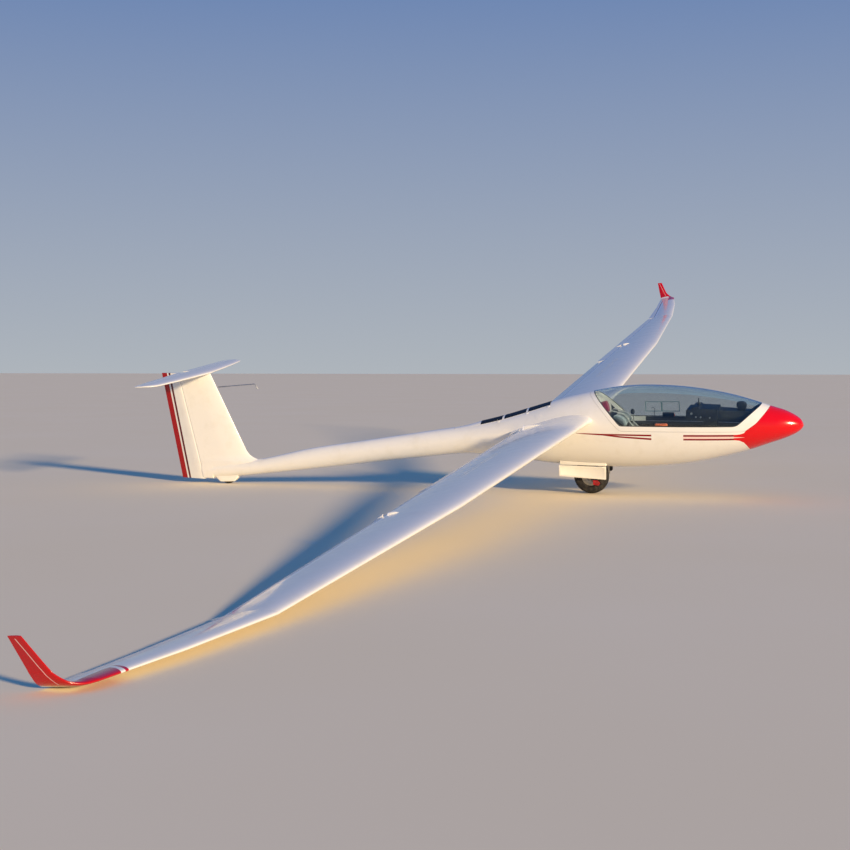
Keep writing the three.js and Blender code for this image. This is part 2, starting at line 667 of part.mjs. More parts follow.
// Seat shell, headrest and cockpit fittings
const seat = solid(slab([
  [1060, 384], [800, 352], [640, 378], [250, 860], [268, 872], [652, 398], [800, 374], [1056, 404],
], -205, 205));
add('seat_pan', finish.interior, shape(seat.intersect(solid(fuselageLoft(-SHELL - 3, 1850, -100)))));
const pad = solid(new THREE.SphereGeometry(60, 18, 12).translate(162, 0, 868));
add('headrest', finish.maroon, shape(pad.add(solid(rod([94, 0, 868], [150, 0, 868], 14)))));
add('instrument_panel', finish.dark, slab([
  [1130, 590], [1210, 590], [1250, 868], [1150, 868],
], -150, 150));
add('glare_shield', finish.dark, slab([
  [950, 880], [1255, 869], [1265, 892], [1160, 935], [985, 932], [940, 905],
], -175, 175));
add('control_stick', finish.dark, rod([930, 0, 402], [980, 0, 630], 13, 12));
addPair('rudder_pedal', finish.alloy, slab([[1515, 562], [1530, 558], [1555, 668], [1540, 672]], 32, 112));

// Probe on the fin's leading edge
add('probe', finish.alloy, rod([-4010, 0, 1048], [-3560, 0, 1084], 6, 10));

// Bank the airframe on to its right wing tip, then centre it over its footprint
airframe.rotation.x = THREE.MathUtils.degToRad(BANK_DEG);
const group = new THREE.Group();
group.add(airframe);
group.updateMatrixWorld(true);
const box = new THREE.Box3().setFromObject(group, true);
const centre = box.getCenter(new THREE.Vector3());
airframe.position.set(-centre.x, -centre.y, -box.min.z);
group.updateMatrixWorld(true);

export default group;
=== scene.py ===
import math

import bpy
from mathutils import Matrix, Vector


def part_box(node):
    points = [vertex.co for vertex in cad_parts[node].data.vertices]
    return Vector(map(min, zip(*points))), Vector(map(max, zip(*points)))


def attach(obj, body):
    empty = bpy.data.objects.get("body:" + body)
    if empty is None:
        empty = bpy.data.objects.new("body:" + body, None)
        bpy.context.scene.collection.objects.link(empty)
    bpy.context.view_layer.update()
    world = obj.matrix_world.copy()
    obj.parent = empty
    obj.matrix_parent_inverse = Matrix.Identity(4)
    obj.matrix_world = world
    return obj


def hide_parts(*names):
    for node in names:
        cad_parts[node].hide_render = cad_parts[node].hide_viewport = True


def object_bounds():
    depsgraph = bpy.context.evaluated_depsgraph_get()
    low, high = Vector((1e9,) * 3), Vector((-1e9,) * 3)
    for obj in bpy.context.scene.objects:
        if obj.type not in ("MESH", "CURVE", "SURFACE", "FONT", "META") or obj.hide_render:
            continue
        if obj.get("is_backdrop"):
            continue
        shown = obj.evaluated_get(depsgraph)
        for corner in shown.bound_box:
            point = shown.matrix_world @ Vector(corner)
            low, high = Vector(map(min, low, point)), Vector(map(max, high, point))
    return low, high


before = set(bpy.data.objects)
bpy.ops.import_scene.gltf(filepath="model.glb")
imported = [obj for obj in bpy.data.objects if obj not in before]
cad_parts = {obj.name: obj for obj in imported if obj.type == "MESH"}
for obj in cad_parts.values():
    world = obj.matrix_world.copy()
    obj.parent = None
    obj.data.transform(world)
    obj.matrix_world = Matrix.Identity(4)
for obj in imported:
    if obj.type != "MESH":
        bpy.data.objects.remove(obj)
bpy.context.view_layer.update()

# The camera stands 13 m off the right side, level with the nose and 1.3 m up, and looks back across
# the fuselage with both wings in view.
bpy.ops.object.camera_add(
    location=(3.8434, -13.4693, 1.2629),
    rotation=[math.radians(a) for a in (87.5706, 0.0023, 17.339)],
)
camera = bpy.context.object
camera.data.lens = 58.84
camera.data.clip_end = 500
bpy.context.scene.camera = camera

# Fuselage: one hollow glass fibre moulding from the nose to the fin, laid up in two halves and
# joined along the top and bottom. Its stations are given in mm in the level frame of the
# aircraft, with the origin under the main wheel; the finished piece is then leaned over.
LEAN = math.radians(7.507)
low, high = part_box("main_tyre")
PARKED = Matrix.Rotation(LEAN, 4, "X")
PARKED.translation = (low + high) / 2 - PARKED @ Vector((0, 0, 0.175))

# Station x, top z, bottom z, half width, height of the widest point
STATIONS = [
    (2030.8, 717.3, 710.7, 4.4, 0.5),
    (2029, 724, 704, 14, 0.5),
    (2008, 766, 672, 58, 0.5),
    (1950, 812, 630, 104, 0.48),
    (1860, 856, 588, 150, 0.47),
    (1720, 899, 538, 198, 0.46),
    (1540, 957, 474, 245, 0.46),
    (1320, 1015, 412, 283, 0.46),
    (970, 1072, 336, 313, 0.47),
    (610, 1092, 296, 320, 0.48),
    (330, 1080, 281, 314, 0.49),
    (40, 1032, 284, 292, 0.5),
    (-300, 950, 298, 252, 0.52),
    (-600, 851, 326, 210, 0.54),
    (-900, 757, 355, 172, 0.54),
    (-1250, 672, 384, 140, 0.52),
    (-1700, 601, 340, 122, 0.5),
    (-2300, 507, 268, 109, 0.5),
    (-3000, 398, 180, 92, 0.5),
    (-3600, 268, 110, 76, 0.5),
    (-3900, 240, 76, 66, 0.5),
    (-4180, 205, 55, 52, 0.5),
]
NOSE_TIP = 2031
MM = 0.001


def smooth(table, at):
    """The other columns of a table at a value of its first, on a smooth curve through its rows."""
    i = 1
    rising = table[-1][0] > table[0][0]
    while i < len(table) - 1 and (table[i][0] < at) == rising:
        i += 1
    rows = [table[max(i - 2, 0)], table[i - 1], table[i], table[min(i + 1, len(table) - 1)]]
    step = rows[2][0] - rows[1][0]
    t = (at - rows[1][0]) / step
    found = []
    for c in range(1, len(table[0])):
        slopes = [
            (rows[k + 1][c] - rows[k - 1][c]) / (rows[k + 1][0] - rows[k - 1][0]) * step
            for k in (1, 2)
        ]
        found.append(
            rows[1][c] * (1 + 2 * t) * (1 - t) ** 2
            + rows[2][c] * t * t * (3 - 2 * t)
            + slopes[0] * t * (1 - t) ** 2
            - slopes[1] * t * t * (1 - t)
        )
    return found


def blunt(x):
    """A measure along the body that is even along the boom and fine at the round nose."""
    return math.sqrt(NOSE_TIP - x)


BODY = [(blunt(row[0]), *row[1:]) for row in STATIONS]


def section(x, offset=0, sides=96):
    """The ring of points of the body at x, drawn in or out by an offset."""
    top, bottom, half, widest = smooth(BODY, blunt(x))
    middle = bottom + (top - bottom) * widest
    ring = []
    for i in range(sides):
        angle = math.tau * i / sides
        reach = (top if math.sin(angle) > 0 else 2 * middle - bottom) - middle + offset
        ring.append((x, (half + offset) * math.cos(angle), middle + reach * math.sin(angle)))
    return ring


def named(piece, name):
    """Names a piece and its mesh."""
    piece.name = piece.data.name = name
    return piece


def facing_out(piece):
    """Turns the faces of a closed body outwards."""
    bpy.ops.object.mode_set(mode="EDIT")
    bpy.ops.mesh.select_all(action="SELECT")
    bpy.ops.mesh.normals_make_consistent(inside=False)
    bpy.ops.object.mode_set(mode="OBJECT")
    return piece


def loft(name, rings):
    """A closed body: the first ring is extruded from station to station and shaped at each."""
    bpy.ops.object.select_all(action="DESELECT")
    bpy.ops.mesh.primitive_circle_add(vertices=len(rings[0]), radius=1, fill_type="NGON")
    piece = named(bpy.context.object, name)
    bpy.ops.object.mode_set(mode="EDIT")
    bpy.ops.mesh.select_mode(type="FACE")
    bpy.ops.mesh.select_all(action="SELECT")
    for _ in rings[1:]:
        bpy.ops.mesh.extrude_region()
    bpy.ops.object.mode_set(mode="OBJECT")
    placed = list(rings[0])
    for ring in rings[1:]:
        placed += [ring[1], ring[0], *ring[2:]]
    piece.data.vertices.foreach_set("co", [c * MM for p in placed for c in p])
    return facing_out(piece)


def body(name, offset=0, front=STATIONS[0][0], rear=STATIONS[-1][0], steps=110):
    """The body's skin as a closed solid from one station to another."""
    start, end = blunt(front), blunt(rear)
    places = [NOSE_TIP - (start + (end - start) * i / steps) ** 2 for i in range(steps + 1)]
    return loft(name, [section(x, offset) for x in places])


def alone(piece):
    """Selects one piece and nothing else, and makes it the active one."""
    bpy.ops.object.select_all(action="DESELECT")
    piece.select_set(True)
    bpy.context.view_layer.objects.active = piece


def applied(piece):
    """Applies a piece's place, turn and size to its mesh."""
    alone(piece)
    bpy.ops.object.transform_apply(location=True, rotation=True, scale=True)
    return piece


def finish_with(piece, kind, **settings):
    """Adds a modifier to a piece and applies it."""
    alone(piece)
    modifier = piece.modifiers.new(kind.lower(), kind)
    for setting, value in settings.items():
        setattr(modifier, setting, value)
    bpy.ops.object.modifier_apply(modifier=modifier.name)


def soften(piece, width, segments=3, angle=30):
    """Rounds the edges of a piece that turn by more than an angle, to a width in mm."""
    sharp = {"limit_method": "ANGLE", "angle_limit": math.radians(angle)}
    finish_with(piece, "BEVEL", width=width * MM, segments=segments, **sharp)


def carve(piece, tool, how="DIFFERENCE"):
    """Cuts a piece with a tool, joins it on, or keeps what the two share."""
    finish_with(piece, "BOOLEAN", operation=how, solver="EXACT", object=tool, material_mode="TRANSFER")
    bpy.data.objects.remove(tool)


def slab(name, outline, y0, y1):
    """A solid with the outline of x and z points, from y0 to y1."""
    return loft(name, [[(x, y, z) for x, z in outline] for y in (y0, y1)])


def block(name, low, high):
    """A solid between two corners."""
    (x0, y0, z0), (x1, y1, z1) = low, high
    return slab(name, [(x0, z0), (x1, z0), (x1, z1), (x0, z1)], y0, y1)


def rounded(outline, radii, steps=8):
    """An outline with its corners rounded, each by its own radius."""
    smoothed = []
    for i, (corner, radius) in enumerate(zip(outline, radii)):
        corner = Vector(corner)
        before = Vector(outline[i - 1]) - corner
        after = Vector(outline[(i + 1) % len(outline)]) - corner
        if not radius:
            smoothed.append(tuple(corner))
            continue
        half = before.angle(after) / 2
        reach = min(radius / math.tan(half), before.length * 0.48, after.length * 0.48)
        start, end = corner + before.normalized() * reach, corner + after.normalized() * reach
        for k in range(steps + 1):
            t = k / steps
            smoothed.append(tuple(start * (1 - t) ** 2 + corner * 2 * t * (1 - t) + end * t * t))
    return smoothed


def drawn_in(outline, distance):
    """An outline with each of its edges moved inwards."""
    edges = []
    for i, start in enumerate(outline):
        along = (Vector(outline[(i + 1) % len(outline)]) - Vector(start)).normalized()
        edges.append((Vector(start) + Vector((-along.y, along.x)) * distance, along))
    moved = []
    for i, (start, along) in enumerate(edges):
        last, last_along = edges[i - 1]
        turn = last_along.cross(along)
        reach = (start - last).cross(along) / turn if abs(turn) > 1e-4 else (start - last).dot(last_along)
        moved.append(tuple(last + last_along * reach))
    return moved


def between(start, end, share):
    """The point, or the table's row, a share of the way from one to another."""
    return [a + (b - a) * share for a, b in zip(start, end)]


def row_at(table, at):
    """A table's row at a value of its first column, on straight lines between its rows."""
    rising = table[-1][0] > table[0][0]
    i = 1
    while i < len(table) - 1 and (table[i][0] < at) == rising:
        i += 1
    t = (at - table[i - 1][0]) / (table[i][0] - table[i - 1][0])
    return between(table[i - 1], table[i], t)


def half_thick(part, thick):
    """Half the thickness of a symmetric section, in parts of its chord."""
    bulge = 0.2969 * math.sqrt(part) - 0.126 * part - 0.3516 * part**2
    return 5 * thick * (bulge + 0.2843 * part**3 - 0.1015 * part**4)


INCIDENCE = math.radians(8.5)
CAMBER = 0.022
BASE_THICK = 0.14


def mean_line(part, thick):
    """Height of the wing section's curved middle line, in parts of its chord."""
    return 4 * CAMBER * part * (1 - part) * thick / BASE_THICK


def wing_point(row, part, height):
    """A point of a wing section: y, leading edge x and z, chord, thickness and lean in degrees."""
    y, x, z, chord, _, lean = [*row, 0][:6]
    lean = math.radians(lean)
    tilt = INCIDENCE * math.cos(lean)
    up = height * chord * math.cos(tilt)
    back = part * chord * math.cos(tilt) - height * chord * math.sin(tilt)
    return (x - back, y - up * math.sin(lean), z + up * math.cos(lean) - part * chord * math.sin(tilt))


def nose_steps(count):
    """Places along a chord, close together at the leading edge."""
    return [1 - math.cos(math.pi / 2 * i / count) for i in range(count + 1)]


def wing_ring(row, count=26, swell=1):
    """The outline of a whole wing section, over the top and back below; its nose may be swollen."""
    above, below = [], []
    for s in nose_steps(count):
        thick = row[4] * (swell + (1 - swell) * min(1, s / 0.7))
        above.append(wing_point(row, s, mean_line(s, thick) + half_thick(s, thick)))
        below.append(wing_point(row, s, mean_line(s, thick) - half_thick(s, thick)))
    return above + below[:0:-1]


def eased(table, steps):
    """Rows on smooth curves through a table's rows, a number of steps for each gap."""
    numbered = [(i, *row) for i, row in enumerate(table)]
    return [smooth(numbered, i / steps) for i in range((len(table) - 1) * steps + 1)]


def reflected(piece, name):
    """A copy of a piece on the other side of the plane of symmetry."""
    alone(piece)
    bpy.ops.object.duplicate()
    other = named(bpy.context.object, name)
    other.scale.y = -1
    return facing_out(applied(other))


# Wing panel sections: span y, leading edge x and z, chord, thickness in parts of the chord
ROOT_RIB = 450
PANEL_JOINT = 7430
WING = [
    (150, 56, 766, 785, 0.14),
    (ROOT_RIB, 54, 779, 773, 0.14),
    (2500, 32, 863, 692, 0.135),
    (4700, 10, 953.5, 600, 0.13),
    (PANEL_JOINT, -138, 1049, 365, 0.125),
]
# Swell of the wing root into the body: span y, growth of the section's height, added chord
FILLET = [
    (150, 1.6, 90),
    (215, 1.4, 62),
    (265, 1.25, 36),
    (330, 1.12, 16),
    (400, 1.03, 5),
    (ROOT_RIB, 1, 0),
]
# Leading edge of the fin: z, x; its root runs out along the boom in a small fillet
FIN_FRONT = [
    (170, -3500), (255, -3560), (270, -3600), (290, -3650), (316, -3690), (360, -3725),
    (1198, -4098),
]
FIN_TOP = 1198
RUDDER_HINGE = [(40, -4240), (1200, -4478)]


def tail_thick(z):
    """Thickness of the fin and the rudder at a height."""
    return 88 - 30 * z / FIN_TOP


def fin_ring(z, front=None, room=0):
    """The outline of the fin at a height: a round nose, then even sides to the hinge line. Where it
    meets the boom its front flares out."""
    front = row_at(FIN_FRONT, z)[1] if front is None else front
    rear = row_at(RUDDER_HINGE, z)[1] - room
    thick = tail_thick(z)
    flare = min(92 * (max(320 - z, 0) / 90) ** 2, 130 - thick)
    left = []
    for s in nose_steps(22):
        part = min(s / 0.45, 1)
        half = (thick + flare * (1 - s)) / 2 + room
        x = front + room - s * (front + room - rear)
        left.append((x, half * (1.35 * math.sqrt(part) - 0.35 * part), z))
    return left + [(x, -y, z) for x, y, _ in left[:0:-1]]


fuselage = body("fuselage_skin")
fin_levels = [170, 200, 228, 255, 262, 270, 280, 290, 303, 316, 335, 360, 500, 700, 900, 1050, FIN_TOP]
carve(fuselage, loft("fin", [fin_ring(z) for z in fin_levels]), "UNION")

# Below the fin the boom runs on to the rudder as a flat-sided post
POST = [(56, 0.6), (63, 0.9), (75, 1), (140, 1), (175, 0.92), (230, 0.84)]
post_rings = []
for z, share in POST:
    hinge = row_at(RUDDER_HINGE, z)[1]
    right_side = [(-4120, -53 * share), (-4180, -51 * share), (hinge - 30, -46 * share)]
    post_rings.append([(x, y, z) for x, y in right_side] + [(x, -y, z) for x, y in right_side[::-1]])
carve(fuselage, loft("tail_post", post_rings), "UNION")

stub_rings = []
for y, swell, reach in eased(FILLET, 5):
    _, x, z, chord, thick = row_at(WING, y)
    stub_rings.append(wing_ring((y, x + reach * 0.4, z, chord + reach, thick), 40, swell))
stub = loft("wing_stub", stub_rings)
carve(fuselage, reflected(stub, "wing_stub_right"), "UNION")
carve(fuselage, stub, "UNION")

TAIL_WHEEL_X = -3958
SPATS = [(150, 175), (122, 66), (84, 26), (-84, 20), (-128, 62), (-170, 175)]
spat_side = rounded([(x + TAIL_WHEEL_X, z) for x, z in SPATS], [0, 60, 30, 30, 60, 0])
spats = slab("tail_spats", spat_side, -41, 41)
soften(spats, 14, segments=4, angle=50)
carve(fuselage, spats, "UNION")

# A pad with a flat upright face fills out the belly along each side of the wheel bay, down to the
# hinges of the doors
BAY_PAD = [(-294, 120), (-290, 136), (170, 158), (180, 120)]
pad = loft("bay_pad", [[(x, y, z) for x, y in BAY_PAD] for z in (309, 360)])
soften(pad, 3)
carve(fuselage, reflected(pad, "bay_pad_right"), "UNION")
carve(fuselage, pad, "UNION")


def add_node(tree, kind, inputs=None, **settings):
    """Adds a node with its settings. An input is a value or the output that is linked to it."""
    made = tree.nodes.new("ShaderNode" + kind)
    for setting, value in settings.items():
        setattr(made, setting, value)
    for socket, value in (inputs or {}).items():
        if isinstance(value, bpy.types.NodeSocket):
            tree.links.new(value, made.inputs[socket])
        else:
            made.inputs[socket].default_value = value
    return made


def linear(hex_colour):
    """The linear colour of an sRGB hex value."""
    channels = [int(hex_colour[i : i + 2], 16) / 255 for i in (1, 3, 5)]
    return (*[c / 12.92 if c <= 0.04045 else ((c + 0.055) / 1.055) ** 2.4 for c in channels], 1)


def new_finish(name, roughness, metallic=0, **sockets):
    """A material with its shader's constant settings; returns it with its tree and shader."""
    finish = bpy.data.materials.new(name)
    finish.use_nodes = True
    tree = finish.node_tree
    shader = tree.nodes["Principled BSDF"]
    shader.inputs["Roughness"].default_value = roughness
    shader.inputs["Metallic"].default_value = metallic
    for socket, value in sockets.items():
        shader.inputs[socket.replace("_", " ")].default_value = value
    return finish, tree, shader


def level_place(tree):
    """The level frame's coordinates in metres, for patterns that follow the airframe."""
    place = add_node(tree, "TexCoord").outputs["Object"]
    back = PARKED.inverted()
    turned = {"Vector": place, "Rotation": back.to_euler(), "Location": back.translation}
    return add_node(tree, "Mapping", turned).outputs["Vector"]


def cover(piece, *finishes):
    """Gives a piece its materials in place of any it has."""
    piece.data.materials.clear()
    for finish in finishes:
        piece.data.materials.append(finish)


def painted_over(tree, base, mask, colour):
    """A colour over a base where a mask is 1."""
    mix = add_node(tree, "Mix", {"Factor": mask, "A": base, "B": linear(colour)}, data_type="RGBA")
    return mix.outputs[2]


# Gelcoat: thick pigmented polyester, sprayed in the mould and polished by hand. It gives a deep
# gloss with a faint long ripple of the moulding below, and a little grime that dulls it.
GEL_WHITE = "#F4F2EA"
GEL_GRIME = "#E6E2D4"


def gelcoat(name):
    """A gelcoat finish with its tree, its colour socket, its white and its level coordinates."""
    finish, tree, shader = new_finish(name, 0.18, Coat_Weight=0.25, Coat_Roughness=0.06)
    place = level_place(tree)
    grime = add_node(tree, "TexNoise", {"Vector": place, "Scale": 7, "Detail": 6, "Roughness": 0.6})
    grime = grime.outputs["Fac"]
    soiling = {"Value": grime, "From Min": 0.5, "From Max": 0.8, "To Max": 0.6}
    soiling = add_node(tree, "MapRange", soiling).outputs["Result"]
    dulling = {"Value": grime, "From Min": 0.4, "From Max": 0.8, "To Min": 0.13, "To Max": 0.3}
    dulling = add_node(tree, "MapRange", dulling).outputs["Result"]
    tree.links.new(dulling, shader.inputs["Roughness"])
    ripple = add_node(tree, "TexNoise", {"Vector": place, "Scale": 5, "Detail": 1})
    bump = add_node(tree, "Bump", {"Height": ripple.outputs["Fac"], "Strength": 0.12, "Distance": 0.004})
    tree.links.new(bump.outputs["Normal"], shader.inputs["Normal"])
    white = painted_over(tree, linear(GEL_WHITE), soiling, GEL_GRIME)
    return finish, tree, shader.inputs["Base Color"], white, place


def edge(tree, *terms, soft=0.0008):
    """1 where the first term is more than the others together, 0 elsewhere, with a fine edge."""
    excess = terms[0]
    for term in terms[1:]:
        excess = add_node(tree, "Math", {0: excess, 1: term}, operation="SUBTRACT").outputs[0]
    mask = {"Value": excess, "From Min": -soft, "From Max": soft}
    return add_node(tree, "MapRange", mask).outputs["Result"]


def painted_line(tree, along, points):
    """The second number of a line through a few points, at any first number."""
    first, last = points[0][0], points[-1][0]
    least, most = min(p[1] for p in points), max(p[1] for p in points)
    share = add_node(tree, "MapRange", {"Value": along, "From Min": first, "From Max": last})
    curve = add_node(tree, "FloatCurve", {"Value": share.outputs["Result"]})
    spots = [((at - first) / (last - first), (value - least) / (most - least)) for at, value in points]
    line = curve.mapping.curves[0].points
    line[0].location, line[1].location = spots[0], spots[-1]
    for spot in spots[1:-1]:
        line.new(*spot)
    for point in line:
        point.handle_type = "VECTOR"
    curve.mapping.update()
    full = {"Value": curve.outputs[0], "To Min": least, "To Max": most}
    return add_node(tree, "MapRange", full).outputs["Result"]


# The paint on the gelcoat: acrylic enamel, masked and sprayed, then polished with the rest. The
# nose is bright red up to the canopy's front seam, and two dark red lines run back along each side.
NOSE_RED = "#DA0006"
LINE_RED = "#8A0014"
BAND_PINK = "#F3D6CD"
NOSE_EDGE = [
    (0.47, 1.553), (0.494, 1.543), (0.541, 1.522), (0.578, 1.494), (0.598, 1.455), (0.604, 1.405),
    (0.655, 1.405), (0.66, 1.46), (0.672, 1.498), (0.706, 1.526), (0.76, 1.602), (0.906, 1.727),
]
LINE_UPPER = [(-0.094, 0.6535), (0.17, 0.65), (0.642, 0.6485), (2.0, 0.6485)]
LINE_LOWER = [(-0.094, 0.6525), (0.17, 0.645), (0.35, 0.629), (0.642, 0.613), (2.0, 0.611)]
LINE_HALF = [(-0.094, 0.001), (0.0, 0.004), (0.17, 0.0058), (0.3, 0.0075), (0.642, 0.009), (2.0, 0.009)]
LINE_GAP = (0.642, 0.942)
PINK_MIDDLE = 0.63
PINK_HALF = [(0.941, 0.0105), (1.36, 0.0105), (1.42, 0.005), (1.504, 0.0006)]


def within(tree, *masks):
    """1 where every mask is 1."""
    whole = masks[0]
    for mask in masks[1:]:
        whole = add_node(tree, "Math", {0: whole, 1: mask}, operation="MULTIPLY").outputs[0]
    return whole


def stripe(tree, level, middle, half):
    """1 within half a width of a middle line."""
    off = add_node(tree, "Math", {0: level, 1: middle}, operation="SUBTRACT").outputs[0]
    return edge(tree, half, add_node(tree, "Math", {0: off}, operation="ABSOLUTE").outputs[0])


hull_gelcoat, tree, base, colour, place = gelcoat("hull_gelcoat")
along, _, level = add_node(tree, "SeparateXYZ", {"Vector": place}).outputs
half = painted_line(tree, along, LINE_HALF)
gap = {0: edge(tree, LINE_GAP[0], along), 1: edge(tree, along, LINE_GAP[1])}
lined = add_node(tree, "Math", gap, operation="ADD").outputs[0]
lined = within(tree, lined, edge(tree, along, LINE_UPPER[0][0]))
for line in (LINE_UPPER, LINE_LOWER):
    mask = within(tree, lined, stripe(tree, level, painted_line(tree, along, line), half))
    colour = painted_over(tree, colour, mask, LINE_RED)
colour = painted_over(tree, colour, edge(tree, along, painted_line(tree, level, NOSE_EDGE)), NOSE_RED)
pink = [edge(tree, along, PINK_HALF[0][0]), edge(tree, PINK_HALF[-1][0], along)]
pink.append(stripe(tree, level, PINK_MIDDLE, painted_line(tree, along, PINK_HALF)))
tree.links.new(painted_over(tree, colour, within(tree, *pink), BAND_PINK), base)

# Plain gelcoat, for every moulding with no paint on it
plain_gelcoat, tree, base, white, _ = gelcoat("plain_gelcoat")
tree.links.new(white, base)

# Cockpit lining: two-pack paint rolled over bare laminate, so the weave shows through and fine
# specks break up the colour. Its near black is painted shade, standing for the cockpit's shadow;
# it is pale grey behind and above the shoulders.
LINING_BLACK_AND_SHADE = "#222427"
LINING_SPECK = "#43464A"
LINING_PALE = "#D2D2D8"


def lining(name, pale_behind, pale_above):
    """Lining paint, pale behind one place along the body and above one height; elsewhere it is near
    black, which in the cockpit is painted shade.
    """
    paint, tree, shader = new_finish(name, 0.62)
    place = level_place(tree)
    speck = add_node(tree, "TexNoise", {"Vector": place, "Scale": 420, "Detail": 2})
    much = add_node(tree, "MapRange", {"Value": speck.outputs["Fac"], "From Min": 0.55, "From Max": 0.68})
    dark = painted_over(tree, linear(LINING_BLACK_AND_SHADE), much.outputs["Result"], LINING_SPECK)
    along, _, level = add_node(tree, "SeparateXYZ", {"Vector": place}).outputs
    pale = within(tree, edge(tree, pale_behind, along), edge(tree, level, pale_above))
    tree.links.new(painted_over(tree, dark, pale, LINING_PALE), shader.inputs["Base Color"])
    weave = add_node(tree, "TexWave", {"Vector": place, "Scale": 90, "Distortion": 2, "Detail": 2})
    rough = add_node(tree, "Bump", {"Height": weave.outputs["Fac"], "Strength": 0.25, "Distance": 0.001})
    tree.links.new(rough.outputs["Normal"], shader.inputs["Normal"])
    return paint


cockpit_lining = lining("cockpit_lining", 0.165, 0.775)


def mottled(name, roughness, colours, noise, metallic=0, spread=None, relief=None):
    """A finish in two colours mixed by noise, which may be spread to a range and raise the surface
    by a strength and a distance."""
    finish, tree, shader = new_finish(name, roughness, metallic)
    mottle = add_node(tree, "TexNoise", {"Vector": level_place(tree), **noise}).outputs["Fac"]
    much = mottle
    if spread:
        much = add_node(tree, "MapRange", {"Value": mottle, "From Min": spread[0], "From Max": spread[1]})
        much = much.outputs["Result"]
    base, speck = colours
    tree.links.new(painted_over(tree, linear(base), much, speck), shader.inputs["Base Color"])
    if relief:
        bump = {"Height": mottle, "Strength": relief[0], "Distance": relief[1]}
        tree.links.new(add_node(tree, "Bump", bump).outputs["Normal"], shader.inputs["Normal"])
    return finish


# Bay paint: matt white primer sprayed inside the wheel and engine bays, streaked with dust
BAY_PAINT = ("#C9C7BE", "#6F6655")
BAY_STREAKS = {"Scale": 14, "Detail": 8, "Roughness": 0.7}
bay_primer = mottled("bay_primer", 0.75, BAY_PAINT, BAY_STREAKS, spread=(0.45, 0.75))

# Openings cut in the moulding: the canopy opening and the cockpit behind its 20 mm wall, the
# wheel bay, the engine bay on the back, the tail wheel's bay and the rudder's gap.
SHELL = 20
WIDE = 500
COCKPIT_FRONT, COCKPIT_REAR = 1850, -100
CANOPY_OPENING = [
    (0, 1200), (18, 1008), (146, 881), (262, 752), (334, 684), (1505, 684), (1610, 760),
    (1735, 905), (1760, 1200),
]
CANOPY_ROUNDING = [0, 0, 200, 200, 60, 110, 200, 120, 0]
COCKPIT_SIDE = [(1840, 200), (1840, 1200), (30, 1200), (30, 985), (360, 300), (360, 200)]
WHEEL_BAY = ((-300, -130, 200), (176, 130, 430))
ENGINE_BAY = {"front": -380, "rear": -1385, "half_front": 104, "half_rear": 60, "floor": 452}
TAIL_BAY = ((TAIL_WHEEL_X - 112, -32, -20), (TAIL_WHEEL_X + 112, 32, 214))
FRAME_GAP = 2.5
PANE_FIT = 0.3
RUDDER_GAP = 8


def canopy_slab(name, inset, outline=CANOPY_OPENING):
    """A side view of the canopy, drawn in by an inset, as a slab right across the body."""
    return slab(name, rounded(drawn_in(outline, inset), CANOPY_ROUNDING), -WIDE, WIDE)


def engine_column(name, inset, low, high, inner=None):
    """The engine bay's plan from one height to another; with an inner edge, its left half."""
    front, rear = ENGINE_BAY["front"] - inset, ENGINE_BAY["rear"] + inset
    half_front, half_rear = ENGINE_BAY["half_front"] - inset, ENGINE_BAY["half_rear"] - inset
    near = (-half_front, -half_rear) if inner is None else (inner, inner)
    plan = [(front, half_front), (rear, half_rear), (rear, near[1]), (front, near[0])]
    return loft(name, [[(x, y, z) for x, y in plan] for z in (low, high)])


def half_circle(radius, count=12):
    """Points on the front half of a circle, from above it round to below it."""
    angles = [math.radians(90 + 180 * i / count) for i in range(count + 1)]
    return [(radius * math.cos(a), radius * math.sin(a)) for a in angles]


cover(fuselage, hull_gelcoat)
cockpit_space = body("cockpit_space", -SHELL, COCKPIT_FRONT, COCKPIT_REAR)
carve(cockpit_space, slab("cockpit_side", COCKPIT_SIDE, -WIDE, WIDE), "INTERSECT")
cover(cockpit_space, cockpit_lining)
carve(fuselage, cockpit_space)
carve(fuselage, canopy_slab("canopy_opening", 0))
for name, corners in (("wheel_bay", WHEEL_BAY), ("tail_bay", TAIL_BAY)):
    bay = block(name, *corners)
    cover(bay, bay_primer)
    carve(fuselage, bay)
engine_bay = engine_column("engine_bay", 0, ENGINE_BAY["floor"], 1200)
cover(engine_bay, bay_primer)
carve(fuselage, engine_bay)


def rudder_space(name, flare=0):
    """The gap that the rudder turns in, open to the rear and wider there by a flare, to cut with."""
    rings = []
    for z in (0, 1300):
        room = tail_thick(z) / 2 + RUDDER_GAP
        hinge = row_at(RUDDER_HINGE, z)[1]
        wide = room + flare
        outline = [*half_circle(room), (1, -wide), (1000, -wide), (1000, wide), (1, wide)]
        rings.append([(hinge - s, y, z) for s, y in outline])
    return loft(name, rings)


carve(fuselage, rudder_space("rudder_space", 100))


SMOOTH_UP_TO = math.radians(35)


def hand_in(piece, body_name, slot, *nodes, finish=None):
    """Gives a piece a finish if it has none, smooths its shading, leans it over with the parked
    airframe, and sets what it rides and replaces."""
    if finish:
        cover(piece, finish)
    alone(piece)
    bpy.ops.object.shade_smooth_by_angle(angle=SMOOTH_UP_TO)
    piece.matrix_world = PARKED @ piece.matrix_world
    applied(piece)
    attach(piece, body_name)
    if nodes:
        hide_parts(*nodes)


def both_sides(piece, name, body_name, slot, *nodes, finish=None):
    """Hands in a left piece and its mirror image. SIDE in a name stands for left or right."""
    mirrored = reflected(piece, name.replace("SIDE", "right"))
    for half, side in ((named(piece, name.replace("SIDE", "left")), "left"), (mirrored, "right")):
        spots = [node.replace("SIDE", side) for node in nodes]
        hand_in(half, body_name.replace("SIDE", side), slot, *spots, finish=finish)


hand_in(fuselage, "fuselage", "gelcoat", "fuselage")

